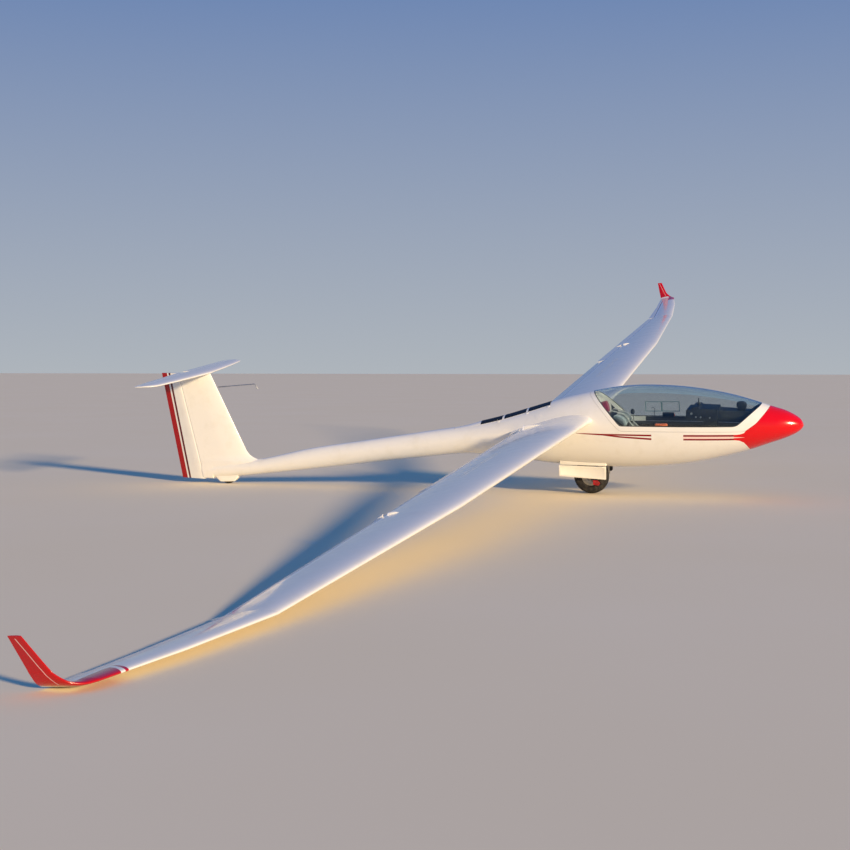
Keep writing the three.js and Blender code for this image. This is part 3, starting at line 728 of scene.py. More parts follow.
# Seat shell: one laid-up pan from under the knees to the shoulders, painted nearly black and bonded
# to the sides. Its outline is a thin band in side view, as wide as the cockpit allows.
SEAT_SIDE = [
    (1060, 384), (800, 352), (622, 378), (194, 806), (212, 818), (634, 398), (800, 374),
    (1056, 404),
]
SEAT_ROUNDING = [2, 120, 160, 6, 6, 140, 120, 2]
SEAT_HALF = 205
seat = slab("seat_shell", rounded(SEAT_SIDE, SEAT_ROUNDING), -SEAT_HALF, SEAT_HALF)
carve(seat, body("seat_room", -SHELL - 3, COCKPIT_FRONT, -60), "INTERSECT")
hand_in(seat, "fuselage", "seat_shell", "seat_pan", finish=lining("seat_paint", -1, 0))

# Cushions: foam in a sewn cover, one on the pan and one up the back. Each starts as a slab that is
# a little too small, and the foam's push is simulated as cloth under pressure.
CUSHION_HALF = 152
SEAT_CUSHION = [(684, 404), (800, 380), (1030, 404), (1026, 434), (800, 412), (706, 430)]
BACK_CUSHION = [(646, 410), (676, 434), (402, 706), (362, 684)]
SHOULDER_PAD = [(364, 700), (388, 718), (356, 768), (322, 792), (258, 808), (240, 794)]
PRESSURE, SETTLE_FRAMES, MOST_SWELL, VOXEL = 4, 20, 0.010, 0.006


def stuffed(piece):
    alone(piece)
    piece.data.remesh_voxel_size = VOXEL
    bpy.ops.object.voxel_remesh()
    at_rest = [v.co.copy() for v in piece.data.vertices]
    cloth = piece.modifiers.new("cloth", "CLOTH").settings
    cloth.use_pressure = True
    cloth.uniform_pressure_force = PRESSURE
    cloth.effector_weights.gravity = 0
    for step in range(1, SETTLE_FRAMES + 1):
        bpy.context.scene.frame_set(step)
    swollen = piece.evaluated_get(bpy.context.evaluated_depsgraph_get())
    moved = [v.co.copy() for v in swollen.data.vertices]
    piece.modifiers.clear()
    bpy.context.scene.frame_set(1)
    for vertex, start, end in zip(piece.data.vertices, at_rest, moved):
        push = end - start
        vertex.co = start + push * min(1, MOST_SWELL / max(push.length, 1e-6))
    finish_with(piece, "SMOOTH", factor=0.5, iterations=6)
    finish_with(piece, "SUBSURF", levels=1, render_levels=1)


def woven(name, colour, shade, thread_mm, roughness=0.9):
    """Woven cloth: two crossed sets of threads, a soft sheen, and a worn, uneven shade."""
    cloth, tree, shader = new_finish(name, roughness, Sheen_Weight=0.4, Sheen_Roughness=0.5)
    place = level_place(tree)
    scale = 1000 / thread_mm / 20
    ways = [
        add_node(tree, "TexWave", {"Vector": place, "Scale": scale, "Distortion": 0.4}, bands_direction=way)
        for way in ("Y", "DIAGONAL")
    ]
    crossed = {0: ways[0].outputs["Fac"], 1: ways[1].outputs["Fac"]}
    threads = add_node(tree, "Math", crossed, operation="MULTIPLY")
    patches = add_node(tree, "TexNoise", {"Vector": place, "Scale": 18, "Detail": 5})
    mixed = add_node(tree, "Math", {0: threads.outputs[0], 1: patches.outputs["Fac"]}, operation="MULTIPLY")
    tree.links.new(painted_over(tree, linear(colour), mixed.outputs[0], shade), shader.inputs["Base Color"])
    bump = add_node(tree, "Bump", {"Height": threads.outputs[0], "Strength": 0.5, "Distance": 0.0008})
    tree.links.new(bump.outputs["Normal"], shader.inputs["Normal"])
    return cloth


# Thread spacing is drawn at 3 mm, twice the real one, so that the weave shows at all
grey_cloth = woven("grey_seat_cloth", "#7C8896", "#A9B2BD", 3)
maroon_cloth = woven("maroon_seat_cloth", "#7A1238", "#8E2148", 3)
# Slate cloth: near black, painted shade for the seat and back cushions low in the cockpit
painted_shade_cloth = woven("painted_shade_seat_cloth", "#23282E", "#30363D", 3)
CUSHIONS = (
    ("seat_cushion", SEAT_CUSHION, painted_shade_cloth),
    ("back_cushion", BACK_CUSHION, painted_shade_cloth),
    ("shoulder_pad", SHOULDER_PAD, grey_cloth),
)
for name, side_view, cloth in CUSHIONS:
    cushion = slab(name, rounded(side_view, [14] * len(side_view), 4), -CUSHION_HALF, CUSHION_HALF)
    soften(cushion, 12)
    stuffed(cushion)
    hand_in(cushion, "fuselage", "headrest_cloth", finish=cloth)


def rod(name, start, end, radius, sides=24, round_end=0.15):
    """A round bar between two points, with its ends bevelled."""
    start, end = Vector(start) * MM, Vector(end) * MM
    bpy.ops.object.select_all(action="DESELECT")
    bpy.ops.mesh.primitive_cylinder_add(
        vertices=sides,
        radius=radius * MM,
        depth=(end - start).length,
        location=(start + end) / 2,
        rotation=(end - start).to_track_quat("Z", "Y").to_euler(),
    )
    bar = applied(named(bpy.context.object, name))
    soften(bar, radius * round_end, angle=60)
    return bar


def joined(name, *pieces):
    """Several meshes made one, each keeping its own finish."""
    alone(pieces[0])
    for piece in pieces[1:]:
        piece.select_set(True)
    bpy.ops.object.join()
    return named(pieces[0], name)


def tube(name, points, radius):
    """A round bar bent along a smooth line through a few points."""
    line = bpy.data.curves.new(name, "CURVE")
    line.dimensions = "3D"
    line.bevel_depth, line.bevel_resolution, line.resolution_u = radius * MM, 3, 8
    line.use_fill_caps = True
    spline = line.splines.new("BEZIER")
    spline.bezier_points.add(len(points) - 1)
    for point, place in zip(spline.bezier_points, points):
        point.co = [c * MM for c in place]
        point.handle_left_type = point.handle_right_type = "AUTO"
    piece = bpy.data.objects.new(name, line)
    bpy.context.collection.objects.link(piece)
    alone(piece)
    bpy.ops.object.convert(target="MESH")
    return bpy.context.object


# Painted steel: grey two-pack paint on tube, satin, rubbed pale in patches
GREY_PAINT = ("#5C6066", "#8D9094")
painted_steel = mottled("painted_steel", 0.42, GREY_PAINT, {"Scale": 60, "Detail": 6}, spread=(0.5, 0.7))

# Headrest: a round pad in maroon cloth on a pale moulded rest, held off the wall by two steel bars
PAD_CENTRE, PAD_RADIUS, PAD_HALF, PAD_TILT = (146, 0, 870), 58, 38, math.radians(16)
REST_AT = [(-38, -78), (-96, -18), (-96, 50), (-54, 84), (54, 84), (96, 50), (96, -18), (38, -78)]
REST_BEHIND, REST_THICK = 46, 6


def on_rest(across, up, ahead):
    """A point given across, up and ahead of the headrest's middle, tilted back with it."""
    x, y, z = PAD_CENTRE
    tilt, turn = math.sin(PAD_TILT), math.cos(PAD_TILT)
    return (x + ahead * turn - up * tilt, y + across, z + ahead * tilt + up * turn)


pad = rod("headrest_pad", on_rest(0, 0, -PAD_HALF), on_rest(0, 0, PAD_HALF), PAD_RADIUS, 48, 0.22)
stuffed(pad)
hand_in(pad, "fuselage", "headrest_cloth", "headrest", finish=maroon_cloth)
rest_outline = rounded(REST_AT, [26] * len(REST_AT), 5)
rest_depths = (-REST_BEHIND, REST_THICK - REST_BEHIND)
rest = loft("headrest_rest", [[on_rest(*point, ahead) for point in rest_outline] for ahead in rest_depths])
soften(rest, 2, segments=2)
hand_in(rest, "fuselage", "seat_shell", finish=cockpit_lining)
bars = [rod("headrest_bar", (62, y, 856), on_rest(y, 0, -REST_BEHIND + 2), 7) for y in (-40, 40)]
hand_in(joined("headrest_bars", *bars), "fuselage", "gear_steel", finish=painted_steel)

# Harness: polyester webbing 44 mm wide, two shoulder straps and two lap straps to a round buckle
STRAP_WIDE, STRAP_THICK = 44, 2.4
SHOULDER = [
    (190, 70, 800), (216, 71, 838), (262, 72, 834), (334, 73, 812), (380, 73, 774), (408, 72, 724),
    (463, 70, 666), (612, 46, 526), (700, 20, 494),
]
LAP = [(640, 186, 424), (672, 160, 462), (700, 100, 488), (712, 26, 494)]
BUCKLE = (716, 0, 498)


def strap(name, points, across):
    """Flat webbing along a smooth line through points; across is the direction of its width."""
    across = Vector(across).normalized()
    line = [Vector(p) for p in eased(points, 6)]
    rings = []
    for i, place in enumerate(line):
        along = line[min(i + 1, len(line) - 1)] - line[max(i - 1, 0)]
        side = (across - along * across.dot(along) / along.length_squared).normalized() * STRAP_WIDE / 2
        lift = along.cross(side).normalized() * STRAP_THICK / 2
        rings.append([place + side + lift, place - side + lift, place - side - lift, place + side - lift])
    return loft(name, rings)


webbing = woven("grey_webbing", "#8C8F92", "#AEB0B2", 2, 0.8)
straps = [strap("shoulder_strap", SHOULDER, (0, 1, 0)), strap("lap_strap", LAP, (1, 0.3, 0.3))]
straps += [reflected(piece, piece.name + "_right") for piece in straps]
hand_in(joined("harness", *straps), "fuselage", "headrest_cloth", finish=webbing)
buckle = rod("buckle", (BUCKLE[0], 0, BUCKLE[2] - 8), (BUCKLE[0] + 6, 0, BUCKLE[2] + 12), 30, 32, 0.2)
hand_in(buckle, "fuselage", "wheel_alloy", finish=painted_steel)

# Black moulding: rubber and dull plastic from a spark-finished mould, so fine pores scatter light
MOULD_BLACK = ("#151618", "#222427")
MOULD_PORES = {"Scale": 900, "Detail": 2}
black_rubber = mottled(
    "black_moulding", 0.6, MOULD_BLACK, MOULD_PORES, spread=(0.3, 0.7), relief=(0.3, 0.0004)
)

# Control stick: a steel tube with a moulded rubber grip and a ribbed boot at its foot. Grip and boot
# are given as a share of the way up the stick, with the radius there.
STICK_FOOT, STICK_TOP = (930, 0, 402), (980, 0, 630)
GRIP = [(0.52, 11), (0.56, 15), (0.62, 16), (0.7, 14), (0.8, 15.5), (0.9, 16.5), (0.97, 14), (1.0, 8)]
BOOT = [(0.0, 62), (0.06, 56), (0.1, 60), (0.14, 44), (0.19, 46), (0.24, 28), (0.3, 16), (0.33, 11)]


def hoop(x, y, z, long, wide, count=20):
    """A level ring of points, round or oval, about a centre."""
    turn = [math.tau * i / count for i in range(count)]
    return [(x + long * math.cos(a), y + wide * math.sin(a), z) for a in turn]


stick = rod("stick_tube", STICK_FOOT, between(STICK_FOOT, STICK_TOP, 0.6), 9)
cover(stick, painted_steel)
stick_parts = [stick]
for name, rows, longer in (("stick_grip", GRIP, 1.25), ("stick_boot", BOOT, 1)):
    rings = [hoop(*between(STICK_FOOT, STICK_TOP, s), r * longer, r) for s, r in eased(rows, 3)]
    stick_parts.append(loft(name, rings))
    cover(stick_parts[-1], black_rubber)
hand_in(joined("stick_with_grip", *stick_parts), "fuselage", "panel_black", "control_stick")

# Cast aluminium: sand cast and bead blasted, so it is pale and satin with a fine grain
ALLOY = ("#9A9DA1", "#B6B8BB")
cast_alloy = mottled(
    "cast_alloy", 0.45, ALLOY, {"Scale": 300, "Detail": 3}, metallic=1.0, relief=(0.2, 0.0005)
)

# Rudder pedals: bent alloy plates with a heel bar, on a slide in the nose
PEDAL_SIDE = [(1515, 562), (1530, 558), (1555, 668), (1540, 672)]
pedal = slab("pedal_left", PEDAL_SIDE, 34, 110)
carve(pedal, rod("pedal_window", (1480, 72, 618), (1600, 72, 612), 22, 32))
soften(pedal, 3, segments=2, angle=50)
pedal = joined("pedal_with_bar", pedal, rod("heel_bar", (1522, 34, 556), (1522, 110, 556), 7))
pedal_names = ("rudder_pedal_SIDE_plate", "fuselage", "wheel_alloy", "rudder_pedal_SIDE")
both_sides(pedal, *pedal_names, finish=cast_alloy)

# Side controls: levers on rods along the walls, each with a moulded knob. From the front they are
# the flap lever, the blue airbrake lever and the trim on the left, and the gear lever on the right.
# The blue is moulded nylon, a little glossy from handling, with a faintly uneven tint.
blue_plastic = mottled("blue_plastic", 0.35, ("#123C86", "#1B4C9C"), {"Scale": 220, "Detail": 3})
LEVERS = [
    ("flap_lever", 1010, 252, 636, 17, black_rubber),
    ("airbrake_lever", 880, 246, 592, 19, blue_plastic),
    ("trim_lever", 760, 262, 560, 11, black_rubber),
    ("gear_lever", 960, -252, 612, 18, black_rubber),
]
for name, x, y, z, knob_size, knob_finish in LEVERS:
    side = math.copysign(1, y)
    bar = tube(name, [(x - 210, y + 26 * side, z - 12), (x - 60, y + 24 * side, z - 6), (x, y, z)], 5)
    cover(bar, painted_steel)
    knob = rod("knob", (x - 14, y - side * 2, z), (x + 46, y - side * 8, z + 4), knob_size, 28, 0.7)
    cover(knob, knob_finish)
    hand_in(joined(name + "_with_knob", bar, knob), "fuselage", "panel_black")

# Armrests: foam ledges in grey cloth along both walls, over the control rods
REST_SIDE = [(470, 470), (1120, 452), (1120, 500), (500, 530)]
for name, y0, y1 in (("armrest_left", 228, 290), ("armrest_right", -290, -228)):
    ledge = slab(name, rounded(REST_SIDE, [16, 16, 16, 16], 4), y0, y1)
    carve(ledge, body("ledge_room", -SHELL - 8, 1500, 100), "INTERSECT")
    soften(ledge, 6, segments=2, angle=50)
    stuffed(ledge)
    hand_in(ledge, "fuselage", "headrest_cloth", finish=grey_cloth)

# Microphone: a foam ball on a thin bendable stalk that comes up from the edge of the seat
MIC_FOOT, MIC_BALL = (392, 186, 676), (388, 184, 796)
stalk = tube("microphone_stalk", [MIC_FOOT, (398, 187, 720), (392, 186, 762), MIC_BALL], 4)
cover(stalk, painted_steel)
FOAM = [(-27, 5), (-24, 12), (-14, 19), (0, 21), (14, 18), (24, 11), (28, 4)]
x, y, z = MIC_BALL
foam = loft("microphone_foam", [hoop(x, y, z + up, radius, radius) for up, radius in eased(FOAM, 3)])
cover(foam, black_rubber)
hand_in(joined("microphone", stalk, foam), "fuselage", "panel_black")

# Canopy: one blown acrylic bubble in a slim laminated frame, hinged at the front so that it lifts
# with the instrument panel. The frame is white gelcoat outside and is lined like the cockpit.
FRAME_DEEP, GLASS_THICK = 18, 5
CANOPY_WINDOW = [
    (40, 1200), (42, 1036), (136, 943), (219, 856), (334, 731), (1428, 731), (1571, 855),
    (1666, 930), (1700, 1200),
]


def shell(name, thick, front=COCKPIT_FRONT, rear=COCKPIT_REAR, outer=0, inside=None):
    """The body's skin between two stations as a wall of some thickness, with its inside's finish."""
    wall = body(name, outer, front, rear)
    core = body("core", outer - thick, front + 30, rear - 30)
    if inside:
        cover(wall, plain_gelcoat)
        cover(core, inside)
    carve(wall, core)
    return wall


frame_lining = lining("frame_lining", 0.5, 0)
canopy_frame = shell("canopy_frame_ring", FRAME_DEEP, inside=frame_lining)
carve(canopy_frame, canopy_slab("frame_outline", FRAME_GAP), "INTERSECT")
carve(canopy_frame, canopy_slab("frame_window", 0, CANOPY_WINDOW))
hand_in(canopy_frame, "canopy", "gelcoat", "canopy_frame")

# Acrylic: clear, glossy and a little grey green. Lamps shine straight through it, so that the
# cockpit behind it is lit.
ACRYLIC_TINT = "#DEE8EA"
acrylic, tree, shader = new_finish("clear_acrylic", 0.0, IOR=1.49, Transmission_Weight=1.0)
shader.inputs["Base Color"].default_value = linear(ACRYLIC_TINT)
passing = add_node(tree, "BsdfTransparent", {"Color": linear(ACRYLIC_TINT)})
lamps = add_node(tree, "LightPath").outputs["Is Shadow Ray"]
pane = add_node(tree, "MixShader", {"Fac": lamps, 1: shader.outputs["BSDF"], 2: passing.outputs["BSDF"]})
tree.links.new(pane.outputs[0], tree.nodes["Material Output"].inputs["Surface"])
canopy_glass = shell("canopy_bubble", GLASS_THICK)
carve(canopy_glass, canopy_slab("glass_outline", PANE_FIT, CANOPY_WINDOW), "INTERSECT")
hand_in(canopy_glass, "canopy", "canopy_glazing", "canopy_glass", finish=acrylic)

# Black border: the acrylic is painted black along its edge, inside, which hides the glue
BORDER_WIDE, BORDER_THICK = 7, 1.2
black_border = shell("glass_border", BORDER_THICK, outer=-GLASS_THICK - 0.1)
carve(black_border, canopy_slab("border_outline", PANE_FIT, CANOPY_WINDOW), "INTERSECT")
carve(black_border, canopy_slab("border_window", BORDER_WIDE, CANOPY_WINDOW))
hand_in(black_border, "canopy", "panel_black", finish=black_rubber)

# Window: a sliding pane in the left side of the bubble, in clear rails that are glued on. It is
# modelled shut.
WINDOW = [(499, 779), (499, 884), (838, 889), (838, 782)]
WINDOW_SPLIT = 661
RAIL_WIDE, RAIL_PROUD = 7, 3
# Acrylic strip seen edge on: glossy, and grey green where light is lost in its depth
smoked_acrylic = mottled("smoked_acrylic", 0.08, ("#5F7C84", "#86A0A6"), {"Scale": 30, "Detail": 5})


def window_slab(name, outline, inset=0):
    """A part of the window's side view as a slab through the left side of the bubble."""
    return slab(name, drawn_in(outline, -inset), 0, WIDE)


rails = shell("window_rails", RAIL_PROUD, outer=-GLASS_THICK - 0.2)
carve(rails, window_slab("rails_outline", WINDOW), "INTERSECT")
rear_low, rear_high, front_high, front_low = WINDOW
for name, opening in (
    ("rear_half", [rear_low, rear_high, (WINDOW_SPLIT, 886), (WINDOW_SPLIT, 781)]),
    ("front_half", [(WINDOW_SPLIT, 781), (WINDOW_SPLIT, 886), front_high, front_low]),
):
    carve(rails, window_slab(name, opening, RAIL_WIDE))
hand_in(rails, "canopy", "canopy_glazing", finish=smoked_acrylic)

# Instrument pod: a laminated hood over a sheet aluminium panel, all black, carried by the canopy
# frame so that it lifts with it. The side view of each part is measured in mm.
HOOD_SIDE = [
    (951, 768), (951, 873), (998, 875), (1008, 897), (1070, 898), (1080, 884), (1248, 878),
    (1248, 768),
]
HOOD_HALF, HOOD_WALL = 165, 8
HOOD_HOLLOW = [(900, 700), (900, 862), (1118, 870), (1118, 700)]
DECK_SIDE = [(1242, 770), (1242, 864), (1540, 846), (1600, 836), (1600, 792), (1500, 770)]
LEG_SIDE = [(1130, 590), (1120, 772), (1240, 772), (1210, 590)]

# Panel paint: fine wrinkle finish black, which scatters light so that the instruments stand out
panel_paint, tree, shader = new_finish("wrinkle_black_paint", 0.55)
wrinkle = add_node(tree, "TexVoronoi", {"Vector": level_place(tree), "Scale": 500})
bump = add_node(tree, "Bump", {"Height": wrinkle.outputs["Distance"], "Strength": 0.4, "Distance": 0.0006})
tree.links.new(bump.outputs["Normal"], shader.inputs["Normal"])
tone = painted_over(tree, linear("#101113"), wrinkle.outputs["Distance"], "#1C1E21")
tree.links.new(tone, shader.inputs["Base Color"])

hood = slab("hood", rounded(HOOD_SIDE, [3, 14, 8, 12, 12, 8, 12, 3], 5), -HOOD_HALF, HOOD_HALF)
soften(hood, 12, segments=4, angle=50)
carve(hood, slab("hollow", HOOD_HOLLOW, -HOOD_HALF + HOOD_WALL, HOOD_HALF - HOOD_WALL))
hand_in(hood, "canopy", "panel_black", "glare_shield", finish=panel_paint)
deck = slab("panel_deck", rounded(DECK_SIDE, [3, 10, 30, 30, 30, 20], 5), -118, 118)
soften(deck, 20, segments=4, angle=50)
carve(deck, body("deck_room", -FRAME_DEEP - 4, 1700, 1100), "INTERSECT")
hand_in(deck, "canopy", "panel_black", finish=lining("deck_paint", -1, 0))

# Instrument faces: matt black enamel with marks printed on it in pale ink, both without any glare
dial_face = mottled("dial_face", 0.5, ("#0B0C0D", "#15171A"), {"Scale": 800})
dial_marks = mottled("dial_marks", 0.6, ("#D8D8D0", "#E6E6E0"), {"Scale": 800})


def dial(radius, across, height, x, reading):
    """A round instrument that faces aft: bezel, sunk face, twelve marks and a pointer."""
    bezel = rod("bezel", (x - 9, across, height), (x + 4, across, height), radius, 40, 0.12)
    carve(bezel, rod("sunk", (x - 30, across, height), (x - 3, across, height), radius * 0.84, 40))
    cover(bezel, dial_face)
    marks = []
    for i in range(12):
        mark = block("mark", (x - 4, -0.8, radius * 0.62), (x - 2.6, 0.8, radius * 0.8))
        marks.append((mark, math.tau * i / 12))
    marks.append((block("pointer", (x - 5.4, -1.2, -radius * 0.15), (x - 4.4, 1.2, radius * 0.6)), reading))
    for mark, turned_by in marks:
        place = Matrix.Translation(Vector((0, across, height)) * MM)
        mark.matrix_world = place @ Matrix.Rotation(turned_by, 4, "X")
        cover(applied(mark), dial_marks)
    return joined("dial", bezel, *[mark for mark, _ in marks])


FACE_X = 1118
DIALS = [
    (33, -98, 832, 0.6), (33, 0, 832, -2.2), (33, 98, 832, 1.9), (24, -122, 778, 2.6),
    (24, -45, 778, -0.7), (24, 45, 778, 0.3), (24, 122, 778, -1.4), (24, -34, 722, 1.1),
    (24, 34, 722, -2.7),
]
leg = slab("panel_leg", rounded(LEG_SIDE, [10, 3, 3, 10], 4), -74, 74)
soften(leg, 6, angle=50)
board = block("panel_board", (FACE_X - 2, -156, 752), (FACE_X + 6, 156, 868))
carve(leg, board, "UNION")
cover(leg, panel_paint)
DISPLAY_SIDE = [(FACE_X + 14, 618), (FACE_X + 6, 676), (FACE_X + 30, 676), (FACE_X + 30, 618)]
display = slab("display", DISPLAY_SIDE, -48, 48)
soften(display, 3, segments=2)
cover(display, dial_face)
instruments = [dial(*place, FACE_X - 2, reading) for *place, reading in DIALS]
hand_in(joined("instruments", leg, display, *instruments), "canopy", "panel_black", "instrument_panel")

# Knobs on the hood's flanks, a stub aerial on top, and a compass that stands on the deck
knobs = []
for x, z, radius in ((1003, 838, 11), (1046, 806, 7), (1090, 804, 8), (1176, 800, 8)):
    for side in (-1, 1):
        start, end = (x, side * (HOOD_HALF - 2), z), (x, side * (HOOD_HALF + 10), z)
        knobs.append(rod("flank_knob", start, end, radius, 24, 0.3))
hand_in(joined("flank_knobs", *knobs), "canopy", "wheel_alloy", finish=cast_alloy)
foot = rod("foot", (1055, 0, 892), (1055, 0, 922), 14, round_end=0.7)
aerial = joined("stub_aerial", foot, rod("stub", (1055, 0, 918), (1055, 0, 963), 5.5))
hand_in(aerial, "canopy", "panel_black", finish=black_rubber)
COMPASS_SIDE = [(1420, 850), (1420, 932), (1474, 934), (1500, 918), (1505, 892), (1494, 846)]
compass = slab("compass_case", rounded(COMPASS_SIDE, [2, 10, 14, 14, 14, 2], 5), -30, 30)
soften(compass, 8, angle=50)
cover(compass, black_rubber)
compass = joined("compass", compass, dial(22, 0, 902, 1421, 0.4))
hand_in(compass, "canopy", "panel_black")

# Canopy fittings: an orange lock handle on each side, moulded in nylon that has faded a little, and
# on the left a black case and a hooked line guide
orange_plastic = mottled("orange_plastic", 0.4, ("#C4552B", "#D26A3E"), {"Scale": 200, "Detail": 3})
handle = block("lock_handle", (673, -299, 735), (791, -272, 759))
soften(handle, 7)
other_handle = reflected(handle, "lock_handle_left")
for piece in (handle, other_handle):
    hand_in(piece, "canopy", "panel_black", finish=orange_plastic)
case = block("warning_case", (672, 250, 738), (784, 292, 776))
soften(case, 5, segments=2)
cover(case, black_rubber)
GUIDE = [(590, 296, 726), (588, 286, 780), (588, 276, 818), (574, 270, 826), (562, 270, 816)]
guide = tube("guide", GUIDE, 2.5)
cover(guide, black_rubber)
hand_in(joined("canopy_fittings", case, guide), "canopy", "panel_black")

# Wings: glass and carbon shells over a spar, each an inner panel with a flap and an aileron and an
# outer panel with an aileron of its own. The shells are moulded in two halves and glued at the edges.
HINGE_ROOT = (-600, ROOT_RIB)
HINGE_JOINT = (-428, PANEL_JOINT)
TIP_RIB = 8820
HINGE_TIP = (-466, TIP_RIB)
TIP = [
    (PANEL_JOINT, -138, 1049, 365, 0.125),
    (8250, -205, 1141, 285, 0.12),
    (TIP_RIB, -290, 1201, 215, 0.115),
]
# Surfaces: from y, to y, table, hinge line ends, and how far the left and right one are up
SURFACES = {
    "flap": (470, 3740, WING, HINGE_ROOT, HINGE_JOINT, -3, -8),
    "aileron": (3746, 7415, WING, HINGE_ROOT, HINGE_JOINT, 6, -13),
    "tip_aileron": (7446, 8640, TIP, HINGE_JOINT, HINGE_TIP, 6, -13),
}
PANEL_FIT = 0.3
COVE_ENDS = 6
COVE_GAP = 3.5


def span_rows(table, y0, y1, steps=4):
    """Rows of a table from y0 to y1, with steps between each two of the table's own."""
    stops = [y0, *[row[0] for row in table if y0 + 1 < row[0] < y1 - 1], y1]
    rows = []
    for a, b in zip(stops, stops[1:]):
        rows += [row_at(table, a + (b - a) * i / steps) for i in range(steps)]
    return rows + [row_at(table, y1)]


def hinge_in(row, start, end):
    """Where a hinge line crosses a section: part of the chord, height, and half the thickness."""
    t = (row[0] - start[1]) / (end[1] - start[1])
    part = (row[1] - (start[0] + (end[0] - start[0]) * t)) / (row[3] * math.cos(INCIDENCE))
    return part, mean_line(part, row[4]), half_thick(part, row[4])


def cove_ring(row, start, end):
    """The space a surface turns in: a round nose about the hinge with room, open to the rear."""
    part, height, radius = hinge_in(row, start, end)
    room = radius + COVE_GAP / row[3]
    outline = [*half_circle(room), (1.3 - part, -room), (1.3 - part, room)]
    return [wing_point(row, part + s, height + h) for s, h in outline]


def surface_ring(row, start, end, up):
    """A surface's outline: a round nose about the hinge and the section's tail, turned up."""
    part, height, radius = hinge_in(row, start, end)
    outline = half_circle(radius)
    tail = [part + (1 - part) * i / 8 for i in range(1, 9)]
    outline += [(s - part, mean_line(s, row[4]) - half_thick(s, row[4]) - height) for s in tail]
    outline += [(s - part, mean_line(s, row[4]) + half_thick(s, row[4]) - height) for s in tail[::-1]]
    c, s = math.cos(math.radians(up)), math.sin(math.radians(up))
    return [wing_point(row, part + u * c - h * s, height + u * s + h * c) for u, h in outline]


def wing_panel(name, table, y0, y1, surfaces):
    """A left wing panel with a cove cut for each of its surfaces."""
    panel = loft(name, [wing_ring(row) for row in span_rows(table, y0, y1)])
    for surface in surfaces:
        start_y, end_y, _, start, end, *_ = SURFACES[surface]
        rows = span_rows(table, start_y - COVE_ENDS, end_y + COVE_ENDS)
        carve(panel, loft("cove", [cove_ring(row, start, end) for row in rows]))
    return panel


# Fairings over the drives of the flap and the aileron: each is a low shell in two parts, one on
# the wing and one on the surface. Steps: mm behind the hinge, half width, height.
DRIVE_COVERS = {
    "flap": (
        488,
        [(-205, 2, 1), (-160, 9, 12), (-110, 14, 24), (-60, 16, 36), (-24, 16, 43)],
        [(2, 16, 27), (14, 15, 22), (26, 12, 14), (42, 3, 1)],
    ),
    "aileron": (
        4860,
        [(-106, 2, 1), (-82, 10, 11), (-54, 15, 17), (-31, 16, 19)],
        [(2, 16, 19), (26, 16, 16), (52, 11, 10), (80, 2, 1)],
    ),
}


def drive_cover(y, steps, up=0):
    """One part of a drive cover, standing on the skin and turned with its surface."""
    row = row_at(WING, y)
    part, height, _ = hinge_in(row, HINGE_ROOT, HINGE_JOINT)
    c, s = math.cos(math.radians(up)), math.sin(math.radians(up))
    rings = []
    for back, half, rise in eased(steps, 4):
        along = back / row[3]
        skin = mean_line(part + along, row[4]) + half_thick(part + along, row[4]) - height
        ring = []
        for i in range(13):
            angle = math.pi * i / 12
            h = skin * (0.6 if i in (0, 12) else 1) + rise * math.sin(angle) ** 0.7 / row[3]
            x, _, z = wing_point(row, part + along * c - h * s, height + along * s + h * c)
            ring.append((x, y + half * math.cos(angle), z))
        rings.append(ring)
    return loft("drive_cover", rings)


# Airbrake slot on the upper skin: two blades rise out of it, one from behind the other, and the
# upper one carries a strip of the wing's skin as its cap.
BRAKE_FROM, BRAKE_TO, BRAKE_PART = 2340, 3540, 0.56
SLOT_HALF, CAP_HALF, CAP_DEEP = 19.5, 16, 4
BLADE_HIGH, BLADE_THICK, BLADE_GAP = 62, 5, 4


def on_top(y, part):
    """A point on the upper skin of the wing."""
    row = row_at(WING, y)
    return Vector(wing_point(row, part, mean_line(part, row[4]) + half_thick(part, row[4])))


inner_end, outer_end = on_top(BRAKE_FROM, BRAKE_PART), on_top(BRAKE_TO, BRAKE_PART)
brake_along = (outer_end - inner_end).normalized()
brake_up = brake_along.cross(Vector((-math.cos(INCIDENCE), 0, -math.sin(INCIDENCE)))).normalized()
brake_across = brake_up.cross(brake_along)
brake_half = (outer_end - inner_end).length / 2
brake_place = Matrix((brake_along, brake_across, brake_up)).transposed().to_4x4()
brake_place.translation = (inner_end + outer_end) / 2 * MM


def brake_block(name, low, high):
    """A box in the airbrake's own frame: along the slot, across it, and up out of the wing."""
    box = block(name, low, high)
    box.matrix_world = brake_place
    return applied(box)


inner_ends = (ROOT_RIB + PANEL_FIT, PANEL_JOINT - PANEL_FIT)
inner_panel = wing_panel("wing_panel", WING, *inner_ends, ("flap", "aileron"))
cap = loft("brake_cap", [wing_ring(row) for row in span_rows(WING, BRAKE_FROM - 50, BRAKE_TO + 50)])
cap_ends = ((-brake_half, -CAP_HALF, -CAP_DEEP), (brake_half, CAP_HALF, 40))
carve(cap, brake_block("cap_strip", *cap_ends), "INTERSECT")
carve(inner_panel, brake_block("slot", (-brake_half - 3, -SLOT_HALF, -70), (brake_half + 3, SLOT_HALF, 40)))
for y, on_wing, _ in DRIVE_COVERS.values():
    carve(inner_panel, drive_cover(y, on_wing), "UNION")
outer_ends = (PANEL_JOINT + PANEL_FIT, TIP_RIB - PANEL_FIT)
outer_panel = wing_panel("wing_tip_panel", TIP, *outer_ends, ("tip_aileron",))

# Hinge seals: white elastic tape 26 mm wide along each hinge line, with a dark grey line of painted
# shade along the gap behind it
SEAL_WHITE, SEAL_GAP_SHADE = "#FFFFFF", "#4A4F55"
SEAL_AHEAD = (0.0, 0.018, 0.044)
SEAL_START = 0.47


